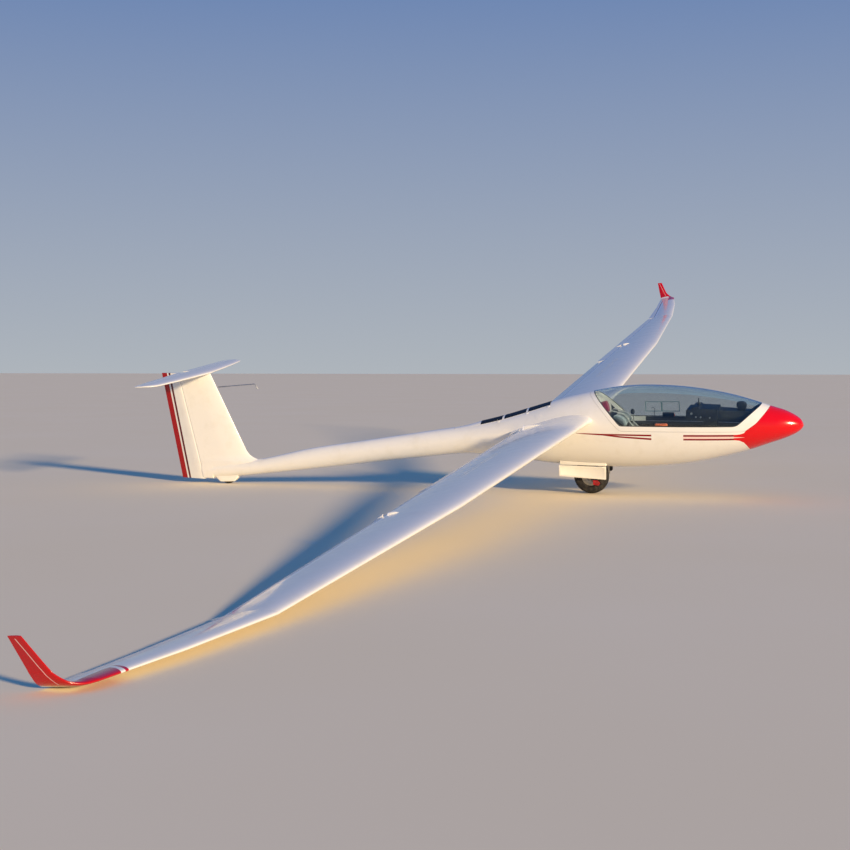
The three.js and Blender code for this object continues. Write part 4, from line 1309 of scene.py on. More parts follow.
def sealed(tree, colour, along, out, start, end, last):
    """The tape along a hinge line, with the painted shade of its gap, over a wing panel's colour."""
    hinge = painted_line(tree, out, [(y * MM, x * MM) for x, y in (start, end)])
    ahead = add_node(tree, "Math", {0: along, 1: hinge}, operation="SUBTRACT").outputs[0]
    span = within(tree, edge(tree, out, SEAL_START), edge(tree, last * MM, out))
    for i, shade in enumerate((SEAL_GAP_SHADE, SEAL_WHITE)):
        strip = within(tree, span, edge(tree, ahead, SEAL_AHEAD[i]), edge(tree, SEAL_AHEAD[i + 1], ahead))
        colour = painted_over(tree, colour, strip, shade)
    return colour


sealed_gelcoat, tree, base, white, place = gelcoat("sealed_gelcoat")
along, side_y, _ = add_node(tree, "SeparateXYZ", {"Vector": place}).outputs
out = add_node(tree, "Math", {0: side_y}, operation="ABSOLUTE").outputs[0]
tree.links.new(sealed(tree, white, along, out, HINGE_ROOT, HINGE_JOINT, SURFACES["aileron"][1]), base)

# Tip paint: red from the winglet inwards, ahead of a line along the chord, with a bare band and one
# thin curved stripe at its inner end. On the winglet itself it is red all over, with one pale line.
PAINT_RED = "#BE0002"
PALE_LINE = "#F0C9C4"
RED_FROM = [
    (-0.6, 8.905), (-0.4, 8.9), (-0.372, 8.88), (-0.366, 8.66), (-0.354, 8.638), (-0.311, 8.662),
    (-0.279, 8.686), (-0.2, 8.74),
]
CURVE_FROM = [(-0.378, 8.595), (-0.352, 8.6), (-0.32, 8.614), (-0.288, 8.63), (-0.2, 8.68)]
CURVE_TO = [(-0.378, 8.596), (-0.352, 8.611), (-0.32, 8.634), (-0.288, 8.652), (-0.2, 8.7)]
PALE_AT = [(1.19, -0.398), (1.215, -0.42), (1.25, -0.447), (1.29, -0.472), (1.36, -0.508), (1.412, -0.536)]
PALE_HALF, PALE_TOP = 0.0022, 1.412
tip_paint, tree, base, white, place = gelcoat("tip_paint")
along, side_y, level = add_node(tree, "SeparateXYZ", {"Vector": place}).outputs
out = add_node(tree, "Math", {0: side_y}, operation="ABSOLUTE").outputs[0]
colour = sealed(tree, white, along, out, HINGE_JOINT, HINGE_TIP, SURFACES["tip_aileron"][1])
colour = painted_over(tree, colour, edge(tree, out, painted_line(tree, along, RED_FROM)), PAINT_RED)
curve = [edge(tree, out, painted_line(tree, along, CURVE_FROM)), edge(tree, along, -0.378)]
curve.append(edge(tree, painted_line(tree, along, CURVE_TO), out))
colour = painted_over(tree, colour, within(tree, *curve), PAINT_RED)
pale = [stripe(tree, along, painted_line(tree, level, PALE_AT), PALE_HALF)]
pale += [edge(tree, PALE_TOP, level), edge(tree, out, 8.915)]
tree.links.new(painted_over(tree, colour, within(tree, *pale), PALE_LINE), base)

both_sides(inner_panel, "wing_SIDE_shell", "fuselage", "gelcoat", "wing_SIDE", finish=sealed_gelcoat)
both_sides(outer_panel, "wing_tip_SIDE_shell", "fuselage", "gelcoat", "wing_tip_SIDE", finish=tip_paint)
for name, (y0, y1, table, start, end, *turned_up) in SURFACES.items():
    for side, up in zip(("left", "right"), turned_up):
        rings = [surface_ring(row, start, end, up) for row in span_rows(table, y0, y1)]
        piece = loft("surface", rings)
        if name in DRIVE_COVERS:
            y, _, on_surface = DRIVE_COVERS[name]
            carve(piece, drive_cover(y, on_surface, up), "UNION")
        if side == "right":
            pattern, piece = piece, reflected(piece, "mirrored_surface")
            bpy.data.objects.remove(pattern)
        named(piece, f"{name}_{side}_shell")
        hand_in(piece, f"{name}_{side}", "gelcoat", f"{name}_{side}", finish=plain_gelcoat)

# Airbrake blades: folded aluminium strips drilled in a row to save weight, with the skin-coloured
# cap on the upper one. All of them sit drawn in, with the cap flush in the wing.
HOLE_PITCH, HOLE_RADIUS = 46, 14


def drilled_blade(name, across, low, high):
    """A blade with a row of round holes along it."""
    half = brake_half - 2
    blade = brake_block(name, (-half, across, low), (half, across + BLADE_THICK, high))
    bpy.ops.object.select_all(action="DESELECT")
    bpy.ops.mesh.primitive_cylinder_add(vertices=24, radius=HOLE_RADIUS * MM, depth=0.04)
    drill = bpy.context.object
    count = int(2 * (half - 30) / HOLE_PITCH)
    drill.rotation_euler.x = math.pi / 2
    drill.location = Vector((-count * HOLE_PITCH / 2, across, (low + high) / 2)) * MM
    applied(drill).matrix_world = brake_place
    steps = {"count": count + 1, "constant_offset_displace": brake_along * HOLE_PITCH * MM}
    finish_with(applied(drill), "ARRAY", use_relative_offset=False, use_constant_offset=True, **steps)
    carve(blade, drill)
    return blade


# Anodised aluminium: drawn sheet, satin, with a fine grain along the blade
anodised_aluminium, tree, shader = new_finish("anodised_aluminium", 0.38, 1.0)
grain = {"Vector": level_place(tree), "Scale": (30, 4, 400)}
stretched = add_node(tree, "Mapping", grain).outputs["Vector"]
lines = add_node(tree, "TexNoise", {"Vector": stretched, "Scale": 1, "Detail": 4})
worn = add_node(tree, "MapRange", {"Value": lines.outputs["Fac"], "To Min": 0.28, "To Max": 0.5})
tree.links.new(worn.outputs["Result"], shader.inputs["Roughness"])
tone = painted_over(tree, linear("#B4B7BA"), lines.outputs["Fac"], "#9DA0A4")
tree.links.new(tone, shader.inputs["Base Color"])

upper_blade = drilled_blade("upper_blade", BLADE_GAP, -BLADE_HIGH, -3)
lower_blade = drilled_blade("lower_blade", -BLADE_GAP - BLADE_THICK, -BLADE_HIGH, -10)
cover(cap, plain_gelcoat)
cover(upper_blade, anodised_aluminium)
carve(cap, upper_blade, "UNION")
cover(lower_blade, anodised_aluminium)
for piece, name, slot in ((cap, "upper", "gelcoat"), (lower_blade, "lower", "brake_alloy")):
    whole = f"airbrake_{name}_SIDE"
    both_sides(piece, whole + "_blade", whole, slot, whole)

# Winglets: solid little wings of foam and glass fibre, blended up from the outer panel's tip and
# painted with it.
WINGLET = [
    (TIP_RIB, -290, 1201, 215, 0.115, 0),
    (8875, -318, 1205, 190, 0.115, 12),
    (8915, -360, 1220, 154, 0.11, 40),
    (8938, -406, 1254, 118, 0.105, 64),
    (8950, -434, 1289, 100, 0.1, 70),
    (9000, -505, 1426, 62, 0.09, 72),
]
winglet = loft("winglet", [wing_ring(row) for row in eased(WINGLET, 5)])
both_sides(winglet, "winglet_SIDE_shell", "fuselage", "red_paint", "winglet_SIDE", finish=tip_paint)

# Tailplane: a fixed stabilizer bolted on top of the fin, with an elevator in two halves. Its table
# gives y, the leading edge's x, and the chord.
TAILPLANE = [
    (0, -4085, 385),
    (500, -4128, 325),
    (960, -4190, 246),
    (1040, -4235, 190),
    (1075, -4315, 100),
]
TAIL_Z = 1203
TAIL_THICK = 0.11
ELEVATOR_HINGE_X = -4368
ELEVATOR_SPAN = (70, 968)


def tail_point(row, part, height):
    """A point of a tailplane section: y, leading edge x and chord."""
    y, x, chord = row
    return (x - part * chord, y, TAIL_Z + height * chord)


def tail_ring(row):
    """The outline of a whole tailplane section."""
    steps = nose_steps(20)
    above = [tail_point(row, s, half_thick(s, TAIL_THICK)) for s in steps]
    return above + [tail_point(row, s, -half_thick(s, TAIL_THICK)) for s in steps[:0:-1]]


def tail_rows(y0, y1, steps=4):
    """Rows of the tailplane on smooth curves, closer together at the tip."""
    stops = [y0, *[row[0] for row in TAILPLANE if y0 + 1 < row[0] < y1 - 1], y1]
    places = [a + (b - a) * i / steps for a, b in zip(stops, stops[1:]) for i in range(steps)]
    return [(y, *smooth(TAILPLANE, y)) for y in [*places, y1]]


def elevator_hinge(row):
    """Where the elevator's hinge crosses a section, and half the thickness there."""
    part = (row[1] - ELEVATOR_HINGE_X) / row[2]
    return part, half_thick(part, TAIL_THICK)


def elevator_ring(row):
    """The elevator's outline: a round nose about the hinge and the section's tail."""
    part, radius = elevator_hinge(row)
    tail = [part + (1 - part) * i / 6 for i in range(1, 7)]
    below = [tail_point(row, s, -half_thick(s, TAIL_THICK)) for s in tail]
    above = [tail_point(row, s, half_thick(s, TAIL_THICK)) for s in tail[::-1]]
    return [tail_point(row, part + s, h) for s, h in half_circle(radius)] + below + above


def elevator_cove(row, side):
    """The gap that the elevator turns in, open to the rear."""
    part, radius = elevator_hinge(row)
    room = radius + COVE_GAP / row[2]
    outline = [*half_circle(room), (1.3 - part, -room), (1.3 - part, room)]
    y, x, chord = row
    return [tail_point((y * side, x, chord), part + s, h) for s, h in outline]


half_rows = tail_rows(0, TAILPLANE[-1][0])
both = [(-y, x, chord) for y, x, chord in half_rows[:0:-1]] + half_rows
stabilizer = loft("stabilizer_shell", [tail_ring(row) for row in both])
for side in (1, -1):
    rows = tail_rows(0, ELEVATOR_SPAN[1] + COVE_ENDS)
    carve(stabilizer, loft("cove", [elevator_cove(row, side) for row in rows]))
fin_room = []
for z in (1118, FIN_TOP + 0.3):
    fin_room.append(fin_ring(z, row_at(FIN_FRONT, min(z, FIN_TOP))[1] + PANEL_FIT, PANEL_FIT))
carve(stabilizer, loft("fin_top", fin_room))
carve(stabilizer, rudder_space("rudder_room"))
hand_in(stabilizer, "fuselage", "gelcoat", "stabilizer", finish=plain_gelcoat)

elevator = loft("elevator", [elevator_ring(row) for row in tail_rows(*ELEVATOR_SPAN)])
elevator_names = ("elevator_SIDE_shell", "elevator", "gelcoat", "elevator_SIDE")
both_sides(elevator, *elevator_names, finish=plain_gelcoat)

# Rudder: a hollow glass fibre moulding hung behind the fin on three hinges, with red stripes
RUDDER_BOTTOM, RUDDER_TOP = (52, -4503), (1200, -4670)


def rudder_ring(z):
    """The outline of the rudder at a height: a round nose about the hinge, straight to the edge."""
    hinge = row_at(RUDDER_HINGE, z)[1]
    rear = row_at([RUDDER_BOTTOM, RUDDER_TOP], z)[1]
    half = tail_thick(z) / 2
    ring = [(hinge - s, y, z) for s, y in half_circle(half, 16)]
    sides = [(hinge + (rear - hinge) * t, -half * (1 - t) - 1.5 * t) for t in (0.25, 0.5, 0.75, 1)]
    return ring + [(x, y, z) for x, y in sides] + [(x, -y, z) for x, y in sides[::-1]]


# Its stripes follow the trailing edge: a red band, a bare gap, and one fine dark red line
STRIPE_RED = "#A60002"
STRIPE_DARK = "#5E1216"
RED_BAND, DARK_LINE = 0.064, (0.084, 0.108)
striped_gelcoat, tree, base, white, place = gelcoat("striped_gelcoat")
along, _, level = add_node(tree, "SeparateXYZ", {"Vector": place}).outputs
rear_edge = [(z * MM, x * MM) for z, x in (RUDDER_BOTTOM, RUDDER_TOP)]
ahead = {0: along, 1: painted_line(tree, level, rear_edge)}
ahead = add_node(tree, "Math", ahead, operation="SUBTRACT").outputs[0]
colour = painted_over(tree, white, edge(tree, RED_BAND, ahead), STRIPE_RED)
line = within(tree, edge(tree, ahead, DARK_LINE[0]), edge(tree, DARK_LINE[1], ahead))
tree.links.new(painted_over(tree, colour, line, STRIPE_DARK), base)

low, high = RUDDER_BOTTOM[0], RUDDER_TOP[0]
rudder_levels = [low + (high - low) * i / 12 for i in range(13)]
rudder = loft("rudder_shell", [rudder_ring(z) for z in rudder_levels])
hand_in(rudder, "rudder", "gelcoat", "rudder", finish=striped_gelcoat)

# Total energy probe: a thin steel tube held in a sleeve in the fin, with its closed tip bent down
PROBE_ROOT, PROBE_TIP, PROBE_RADIUS = (-4010, 0, 1048), (-3586, 0, 1082), 6
PROBE_END = (-3554, 0, 1030)
probe = rod("energy_probe", PROBE_ROOT, PROBE_TIP, PROBE_RADIUS * 0.75, round_end=0.6)
sleeve_end = between(PROBE_ROOT, PROBE_TIP, 0.22)
carve(probe, rod("probe_sleeve", PROBE_ROOT, sleeve_end, PROBE_RADIUS), "UNION")
carve(probe, rod("probe_tip", PROBE_TIP, PROBE_END, PROBE_RADIUS * 0.7, round_end=0.6), "UNION")
hand_in(probe, "fuselage", "gear_steel", "probe", finish=cast_alloy)

# Engine bay: two long doors over the folded sustainer engine, hinged along their outer edges. Each
# carries dark cells, bonded to its skin in three groups.
DOOR_THICK, DOOR_INSET, DOOR_INNER = 12, 3.5, 2.5
CELL_GROUPS = [(-1106, -880), (-857, -630), (-608, -384)]
CELL_OUTER = 0.93
CELL_INNER = 7
CELL_PROUD = 1.2
# The doors are crowned: x and how far their middle stands above the line of the body
CROWN = [(-380, 0), (-600, 8), (-900, 13), (-1106, 15), (-1250, 4), (-1385, 0)]

door_skin = shell("door_skin", DOOR_THICK, -300, -1500)
door_plan = engine_column("door_plan", DOOR_INSET, ENGINE_BAY["floor"] + 60, 1200, DOOR_INNER)
carve(door_skin, door_plan, "INTERSECT")


def bay_half(x):
    """Half the width of the engine bay at x."""
    share = (x - ENGINE_BAY["front"]) / (ENGINE_BAY["rear"] - ENGINE_BAY["front"])
    return ENGINE_BAY["half_front"] + (ENGINE_BAY["half_rear"] - ENGINE_BAY["half_front"]) * share


# Solar cells: thin dark blue silicon under clear film, cut by fine grey lines 1.6 mm wide
CELL_SIZE = 0.062
solar_cells, tree, shader = new_finish("solar_cells", 0.5)
grid = {
    "Vector": level_place(tree),
    "Color1": linear("#0C0E14"),
    "Color2": linear("#10131B"),
    "Mortar": linear("#3A3D44"),
    "Scale": 1,
    "Mortar Size": 0.0008,
    "Brick Width": CELL_SIZE,
    "Row Height": CELL_SIZE / 2,
}
grid = add_node(tree, "TexBrick", grid, offset=0)
tree.links.new(grid.outputs["Color"], shader.inputs["Base Color"])

cells = None
for rear, front in CELL_GROUPS:
    strip = body("cell_strip", CELL_PROUD, front + 60, rear - 60)
    carve(strip, body("strip_core", 0, front + 90, rear - 90))
    plan = [(front, bay_half(front) * CELL_OUTER), (front, CELL_INNER)]
    plan += [(rear, CELL_INNER), (rear, bay_half(rear) * CELL_OUTER)]
    carve(strip, loft("strip_plan", [[(x, y, z) for x, y in plan] for z in (520, 1200)]), "INTERSECT")
    cover(strip, solar_cells)
    if cells:
        carve(cells, strip, "UNION")
    else:
        cells = strip
for piece in (door_skin, cells):
    for vertex in piece.data.vertices:
        x, y, _ = vertex.co / MM
        vertex.co.z += row_at(CROWN, x)[1] * max(0, 1 - (y / bay_half(x)) ** 2) * MM
both_sides(cells, "engine_door_cells_SIDE", "engine_door_SIDE", "panel_black")
door_names = ("engine_door_SIDE_shell", "engine_door_SIDE", "gelcoat", "engine_door_SIDE")
both_sides(door_skin, *door_names, finish=plain_gelcoat)

# Hinge fairings of the engine doors, three small humps along each side, and a round access cover
# on each flank behind the wing, held by one turn of its own rim
HUMPS_AT, HUMP_OUT, HUMP_LONG, HUMP_HALF, HUMP_PROUD = (-915, -617, -396), 11, 15, 7, 4
COVER_AT, COVER_RADIUS, COVER_PROUD = (-490, 802), 33, 1.2
fairings = shell("fairings", 9, -350, -960, outer=HUMP_PROUD)
columns = []
for x in HUMPS_AT:
    y = bay_half(x) + HUMP_OUT
    columns.append(loft("hump_plan", [hoop(x, y, z, HUMP_LONG, HUMP_HALF) for z in (560, 1200)]))
carve(fairings, joined("hump_plans", *columns), "INTERSECT")
soften(fairings, 3, angle=50)
x, z = COVER_AT
round_cover = shell("round_cover", 3, x + 60, x - 60, outer=COVER_PROUD)
carve(round_cover, rod("round_plan", (x, 60, z), (x, 400, z), COVER_RADIUS, 48), "INTERSECT")
fairings = joined("fairings", fairings, round_cover)
both_sides(fairings, "engine_door_fairings_SIDE", "fuselage", "gelcoat", finish=plain_gelcoat)

# Sustainer engine, folded down into its bay: a small two-cylinder two-stroke with cooling fins and
# its belt pulley. It has no joint here. Its cast alloy is stained brown by heat and oil in patches.
STAINED_ALLOY = ("#8D8C88", "#5B4E42")
STAINS = {"Scale": 25, "Detail": 7, "Roughness": 0.65}
engine_paint = mottled("heat_stained_alloy", 0.5, STAINED_ALLOY, STAINS, metallic=0.9, spread=(0.42, 0.7))
case = block("crankcase", (-745, -62, 470), (-545, 62, 560))
soften(case, 12)
for x in (-700, -600):
    carve(case, rod("barrel", (x, 0, 550), (x, 0, 668), 30, 40), "UNION")
    for i in range(8):
        z = 568 + 13 * i
        carve(case, rod("fin", (x, 0, z), (x, 0, z + 4), 46, 40, 0.02), "UNION")
    carve(case, rod("plug", (x, 0, 660), (x, 0, 686), 9, 6), "UNION")
cover(case, engine_paint)
pulley = rod("pulley", (-560, -74, 520), (-560, -58, 520), 44, 48, 0.1)
carve(pulley, rod("pulley_groove", (-560, -90, 520), (-560, -70, 520), 30, 40))
cover(pulley, cast_alloy)
muffler = rod("muffler", (-520, 40, 500), (-434, 40, 540), 30, 40, 0.35)
cover(muffler, engine_paint)
pipe = tube("exhaust", [(-600, 40, 600), (-560, 60, 590), (-525, 50, 530), (-505, 40, 508)], 11)
cover(pipe, engine_paint)
carburettor = block("carburettor", (-668, -70, 600), (-632, -34, 640))
soften(carburettor, 6)
cover(carburettor, cast_alloy)
engine = joined("engine", case, pulley, muffler, pipe, carburettor)
hand_in(engine, "fuselage", "engine_metal", "engine_block")

# Folded propeller: a slim laminated blade that lies along the tube of its pylon
pylon = rod("pylon_tube", (-765, 0, 500), (-1340, 0, 478), 14, 32)
cover(pylon, painted_steel)
BLADE = [(-1330, 3, 3), (-1280, 22, 7), (-1180, 30, 9), (-1060, 31, 11), (-940, 24, 12), (-880, 16, 12)]
blade_rings = []
for x, half, thick in eased(BLADE, 4):
    middle = 520 + (x + 880) * 0.03
    angles = [math.tau * i / 24 for i in range(24)]
    blade_rings.append([(x, half * math.cos(a), middle + thick * math.sin(a)) for a in angles])
blade = loft("propeller_blade", blade_rings)
cover(blade, black_rubber)
hub_block = block("propeller_hub", (-884, -24, 500), (-826, 24, 536))
soften(hub_block, 6)
cover(hub_block, cast_alloy)
hand_in(joined("folded_propeller", pylon, blade, hub_block), "fuselage", "engine_metal")

# Tyres: moulded rubber, the main one with three grooves on each side of its middle, and the tail
# wheel's with one. Each is turned from the outline of its section.
MAIN_RADIUS, MAIN_WIDTH, MAIN_CROWN, MAIN_BORE = 175, 126, 60, 66
TAIL_RADIUS, TAIL_WIDTH, TAIL_CROWN, TAIL_BORE = 100, 50, 24, 44


def turned(name, profile, centre, steps=72):
    """A body turned about an axis across the aircraft, from a closed outline of radius and y."""
    bpy.ops.object.select_all(action="DESELECT")
    bpy.ops.mesh.primitive_circle_add(vertices=len(profile), radius=1)
    piece = named(bpy.context.object, name)
    piece.data.vertices.foreach_set("co", [c * MM for r, y in profile for c in (r, y, 0)])
    bpy.ops.object.mode_set(mode="EDIT")
    bpy.ops.mesh.select_all(action="SELECT")
    bpy.ops.mesh.spin(steps=steps, angle=math.tau, center=(0, 0, 0), axis=(0, 1, 0))
    bpy.ops.mesh.select_all(action="SELECT")
    bpy.ops.mesh.remove_doubles(threshold=0.00001)
    bpy.ops.mesh.normals_make_consistent(inside=False)
    bpy.ops.object.mode_set(mode="OBJECT")
    piece.location = [c * MM for c in centre]
    return applied(piece)


def tyre_outline(radius, width, crown, bore, grooves):
    """A tyre's section: bead, bulging side wall, and a crown with grooves round it."""
    half = width / 2
    outer = []
    for i in range(-20, 21):
        angle = math.radians(62 * i / 20)
        outer.append((radius - crown + crown * math.cos(angle), half * 1.1 * math.sin(angle)))
    ridged = []
    for r, y in outer:
        in_groove = any(abs(abs(y) - g) < 2.2 for g in grooves)
        ridged.append((r - 3 if in_groove else r, y))
    side = [(bore, half * 0.7), (bore + 3, half * 0.86), (bore + 8, half), (bore + 13, half * 1.02)]
    return [(r, -y) for r, y in side] + ridged + side[::-1]


# Tyre rubber: moulded, dull and finely gritty, with pale dust in patches
RUBBER = ("#1B1B1D", "#57524A")
DUST = {"Scale": 30, "Detail": 7, "Roughness": 0.7}
tyre_rubber = mottled("tyre_rubber", 0.82, RUBBER, DUST, spread=(0.48, 0.8))
tree = tyre_rubber.node_tree
grit = add_node(tree, "TexNoise", {"Vector": level_place(tree), "Scale": 600, "Detail": 2})
bump = add_node(tree, "Bump", {"Height": grit.outputs["Fac"], "Strength": 0.2, "Distance": 0.0006})
tree.links.new(bump.outputs["Normal"], tree.nodes["Principled BSDF"].inputs["Normal"])

MAIN_CENTRE = (0, 0, MAIN_RADIUS)
TAIL_CENTRE = (TAIL_WHEEL_X, 0, TAIL_RADIUS)
main_outline = tyre_outline(MAIN_RADIUS, MAIN_WIDTH, MAIN_CROWN, MAIN_BORE, (9, 27, 43))
main_tyre = turned("main_tyre_ribbed", main_outline, MAIN_CENTRE, 96)
hand_in(main_tyre, "main_wheel", "tyre_rubber", "main_tyre", finish=tyre_rubber)
tail_outline = tyre_outline(TAIL_RADIUS, TAIL_WIDTH, TAIL_CROWN, TAIL_BORE, (6.5,))
tail_tyre = turned("tail_tyre_ribbed", tail_outline, TAIL_CENTRE)
hand_in(tail_tyre, "tail_wheel", "tyre_rubber", "tail_tyre", finish=tyre_rubber)

# Brushed steel: turned or ground bright, with a fine grain that draws out the highlights
BRIGHT_STEEL = ("#85878A", "#A6A8AA")
STEEL_GRAIN = {"Scale": 400, "Detail": 2, "Roughness": 0.7}
brushed_steel = mottled(
    "brushed_steel", 0.32, BRIGHT_STEEL, STEEL_GRAIN, metallic=1.0, relief=(0.15, 0.0003)
)

# Main wheel rim: two cast aluminium halves bolted together, with a steel brake disc on the right
RIM = [
    (15, -57), (27, -57), (30, -38), (51, -35), (57, -55), (66, -55), (65, -38), (65, 38), (66, 55),
    (57, 55), (51, 35), (30, 38), (27, 57), (15, 57),
]
DISC = [(20, -57), (34, -58), (34, -65.6), (84, -65.6), (84, -68.4), (30, -68.4), (20, -62)]
rim = turned("main_rim", RIM, MAIN_CENTRE, 64)
for i in range(6):
    angle = math.tau * (i + 0.5) / 6
    at = (42 * math.cos(angle), MAIN_RADIUS + 42 * math.sin(angle))
    carve(rim, rod("bolt", (at[0], -42, at[1]), (at[0], 42, at[1]), 5.5, 6), "UNION")
cover(rim, cast_alloy)
disc = turned("brake_disc", DISC, MAIN_CENTRE, 64)
for i in range(12):
    angle = math.tau * i / 12
    at = (60 * math.cos(angle), MAIN_RADIUS + 60 * math.sin(angle))
    carve(disc, rod("vent", (at[0], -80, at[1]), (at[0], -60, at[1]), 5, 16))
cover(disc, brushed_steel)
hand_in(joined("main_rim_with_disc", rim, disc), "main_wheel", "wheel_alloy", "main_hub")

# Main axle and legs: a steel tube with nuts, held in two forged legs that hang from the bay's roof,
# each with a drag strut behind it.
axle = rod("axle", (0, -88, MAIN_RADIUS), (0, 88, MAIN_RADIUS), 14, 40)
for side in (-1, 1):
    nut = rod("axle_nut", (0, side * 85, MAIN_RADIUS), (0, side * 90.5, MAIN_RADIUS), 22, 6, 0.12)
    carve(axle, nut, "UNION")
hand_in(axle, "fuselage", "gear_steel", "main_axle", finish=brushed_steel)
LEG_FRONT = [(-26, 150), (-46, 429), (40, 429), (26, 150)]
LEG_HOLES = [(0, 236, 11), (-1, 276, 13), (-2, 320, 15), (-3, 368, 16)]
main_leg = slab("gear_leg", rounded(LEG_FRONT, [10, 3, 3, 10], 5), 74, 86)
carve(main_leg, rod("leg_eye", (0, 74, MAIN_RADIUS), (0, 86, MAIN_RADIUS), 34, 40, 0.05), "UNION")
for x, z, radius in LEG_HOLES:
    carve(main_leg, rod("leg_hole", (x, 60, z), (x, 100, z), radius, 24))
soften(main_leg, 1.5, segments=2, angle=50)
carve(main_leg, rod("drag_strut", (-10, 80, 204), (-128, 80, 425), 7, 24), "UNION")
carve(main_leg, rod("axle_hole", (0, 60, MAIN_RADIUS), (0, 100, MAIN_RADIUS), 14.3, 40))
leg_names = ("gear_leg_SIDE_forging", "fuselage", "gear_steel", "gear_leg_SIDE")
both_sides(main_leg, *leg_names, finish=painted_steel)

# Brake caliper: an alloy casting in stoved red enamel, dulled by brown brake dust, with cooling
# grooves, a steel bracket to the leg, and a rubber hose
DUSTY_RED = ("#A80F1E", "#6E4A40")
red_enamel = mottled("red_enamel", 0.4, DUSTY_RED, {"Scale": 60, "Detail": 6}, spread=(0.5, 0.75))
CALIPER = [(30, 106), (30, 156), (78, 150), (98, 118), (84, 98)]
caliper = slab("caliper", rounded(CALIPER, [8, 6, 14, 14, 10], 5), -97, -74)
for i in range(4):
    groove = 44 + 13 * i
    groove_side = [(groove, 90), (groove + 26, 165), (groove + 30, 165), (groove + 4, 90)]
    carve(caliper, slab("groove", groove_side, -110, -93))
soften(caliper, 1.5, segments=2, angle=50)
cover(caliper, red_enamel)
BRACKET = [(6, 138), (6, 164), (40, 150), (40, 120)]
bracket = slab("caliper_bracket", rounded(BRACKET, [4, 4, 4, 4], 3), -84, -77)
cover(bracket, painted_steel)
hose = tube("brake_hose", [(60, -88, 150), (48, -92, 200), (20, -96, 290), (10, -94, 400)], 4)
cover(hose, black_rubber)
hand_in(joined("brake_caliper", caliper, bracket, hose), "fuselage", "gear_steel")

# Gear doors: flat white mouldings with a raised rim, each hung from the belly by two small hinges,
# with a folded stiffener inside
GEAR_DOOR = [(-301, 192), (166, 166), (168, 297), (-301, 303)]
DOOR_RIM, DOOR_RIM_PROUD = 17, 1.6
HINGE_LINE = (122, 304)
DOOR_HINGES = ((-207, -168), (88, 129))
KNUCKLE, KNUCKLE_LONG = 3.6, 11
door_outline = rounded(GEAR_DOOR, [6, 8, 2, 2], 4)
door = slab("gear_door", door_outline, 118, 126)
rim = slab("door_rim", door_outline, 124, 126 + DOOR_RIM_PROUD)
carve(rim, slab("door_panel", drawn_in(GEAR_DOOR, DOOR_RIM), 120, 130))
carve(door, rim, "UNION")
carve(door, slab("stiffener", [(-240, 262), (120, 255), (120, 222), (-240, 232)], 113, 119), "UNION")
soften(door, 1.4, segments=2, angle=50)
fixed = []
hinge_y, hinge_z = HINGE_LINE
for rear, front in DOOR_HINGES:
    inner = (rear + KNUCKLE_LONG + 1, front - KNUCKLE_LONG - 1)
    tab = block("tab", (inner[0], hinge_y - 2, 282), (inner[1], hinge_y + 2, hinge_z))
    carve(tab, rod("knuckle", (inner[0], *HINGE_LINE), (inner[1], *HINGE_LINE), KNUCKLE, 20), "UNION")
    carve(door, tab, "UNION")
    leaf = block("leaf", (rear, hinge_y - 2, hinge_z + 7), (front, hinge_y + 14, 330))
    for x0, x1 in ((rear, rear + KNUCKLE_LONG), (front - KNUCKLE_LONG, front)):
        carve(leaf, block("lug", (x0, hinge_y - 2, hinge_z), (x1, hinge_y + 2, hinge_z + 9)), "UNION")
        carve(leaf, rod("knuckle", (x0, *HINGE_LINE), (x1, *HINGE_LINE), KNUCKLE, 20), "UNION")
    fixed.append(leaf)
door_names = ("gear_door_SIDE_shell", "gear_door_SIDE", "gelcoat", "gear_door_SIDE")
both_sides(door, *door_names, finish=plain_gelcoat)
hinges = joined("gear_door_hinges", *fixed)
both_sides(hinges, "gear_door_hinges_SIDE", "fuselage", "gelcoat", finish=plain_gelcoat)

# Tow hook: a steel cage bolted under the belly ahead of the wheel, with its hook across the middle
HOOK_CAGE = [(184, 281), (212, 281), (212, 244), (203, 232), (184, 232)]
HOOK_MOUTH = [(178, 226), (178, 258), (200, 262), (204, 226)]
hook = slab("tow_cage", rounded(HOOK_CAGE, [0, 0, 12, 8, 8], 4), -14, 14)
carve(hook, slab("hook_mouth", rounded(HOOK_MOUTH, [2, 6, 8, 2], 4), -8, 8))
soften(hook, 1.2, segments=2, angle=50)
carve(hook, rod("hook_pin", (193, -13, 248), (193, 13, 248), 4, 20), "UNION")
hand_in(hook, "fuselage", "gear_steel", "tow_hook", finish=black_rubber)

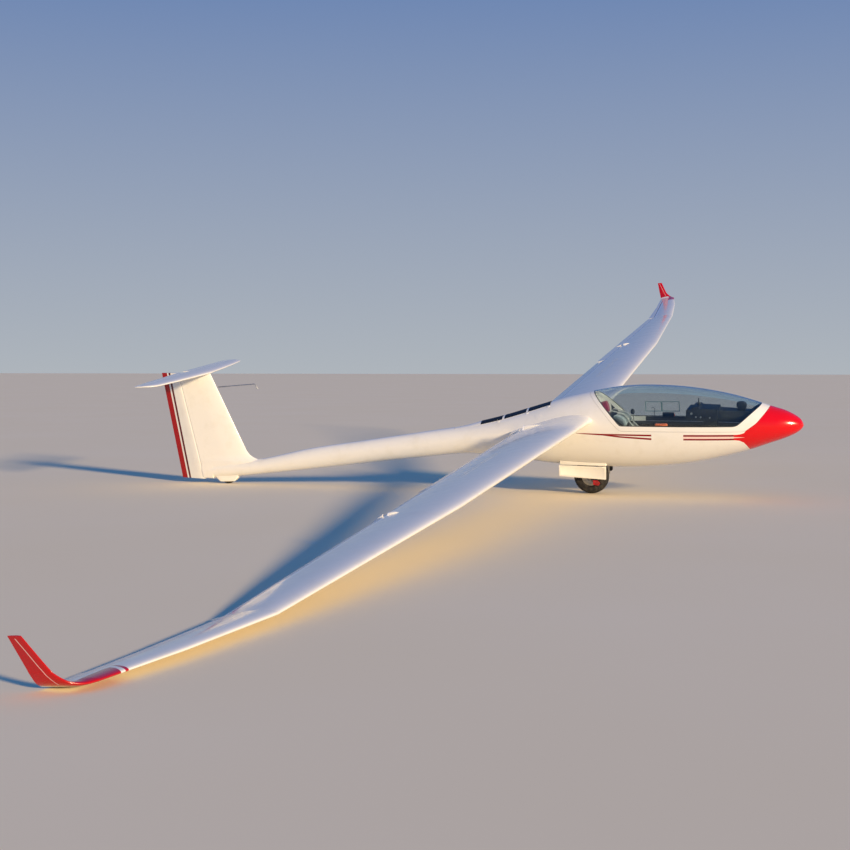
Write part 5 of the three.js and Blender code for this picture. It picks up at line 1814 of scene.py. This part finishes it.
# Tail wheel: a small solid rim on a plain steel pin
TAIL_RIM = [(6.5, -19), (14, -19), (16, -11), (36, -10), (39, -16), (43.7, -16)]
TAIL_RIM += [(radius, -along) for radius, along in TAIL_RIM[::-1]]
tail_rim = turned("tail_rim", TAIL_RIM, TAIL_CENTRE, 48)
hand_in(tail_rim, "tail_wheel", "wheel_alloy", "tail_hub", finish=cast_alloy)
pin_ends = [(TAIL_WHEEL_X, y, TAIL_RADIUS) for y in (-31.5, 31.5)]
hand_in(rod("tail_pin", *pin_ends, 6, 24), "fuselage", "gear_steel", "tail_axle", finish=brushed_steel)

# The floor and a soft studio light: a pale even sky, bluer overhead, and a warm lamp low ahead of the
# right wing. Colours are shown as they are, so that the enamel reds stay full.
LAMP_AT, LAMP_SPREAD = (20, -13.5, 6.6), math.radians(6)
LAMP_COLOUR, LAMP_STRENGTH = "#FFE2B6", 4.7
SKY_COLOUR, SKY_OVERHEAD, SKY_STRENGTH = "#D5DCE2", "#3F80D2", 0.66
bpy.ops.object.select_all(action="DESELECT")
bpy.ops.mesh.primitive_plane_add(size=400, location=(0, 0, -0.001))
floor = bpy.context.object
floor.name = "studio_floor"
studio_floor, tree, shader = new_finish("studio_floor", 0.95)
shader.inputs["Specular IOR Level"].default_value = 0.1
patch = add_node(tree, "TexNoise", {"Vector": add_node(tree, "TexCoord").outputs["Object"], "Scale": 0.4})
tone = painted_over(tree, linear("#F3E4C4"), patch.outputs["Fac"], "#F6E9CE")
tree.links.new(tone, shader.inputs["Base Color"])
cover(floor, studio_floor)
floor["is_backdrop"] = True

world = bpy.data.worlds.new("studio")
bpy.context.scene.world = world
world.use_nodes = True
sky = world.node_tree.nodes["Background"]
sky.inputs["Strength"].default_value = SKY_STRENGTH
looking = add_node(world.node_tree, "TexCoord").outputs["Generated"]
height = add_node(world.node_tree, "SeparateXYZ", {0: looking})
rise = {"Value": height.outputs["Z"], "From Min": -0.02, "From Max": 0.38}
rise = add_node(world.node_tree, "MapRange", rise).outputs["Result"]
dome = painted_over(world.node_tree, linear(SKY_COLOUR), rise, SKY_OVERHEAD)
world.node_tree.links.new(dome, sky.inputs["Color"])
bpy.context.scene.view_settings.view_transform = "Standard"

bpy.ops.object.light_add(type="SUN", location=LAMP_AT)
sun = bpy.context.object
sun.name = sun.data.name = "key"
sun.data.energy = LAMP_STRENGTH
sun.data.angle = LAMP_SPREAD
sun.data.color = linear(LAMP_COLOUR)[:3]
sun.rotation_euler = Vector(LAMP_AT).to_track_quat("Z", "Y").to_euler()

low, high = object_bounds()
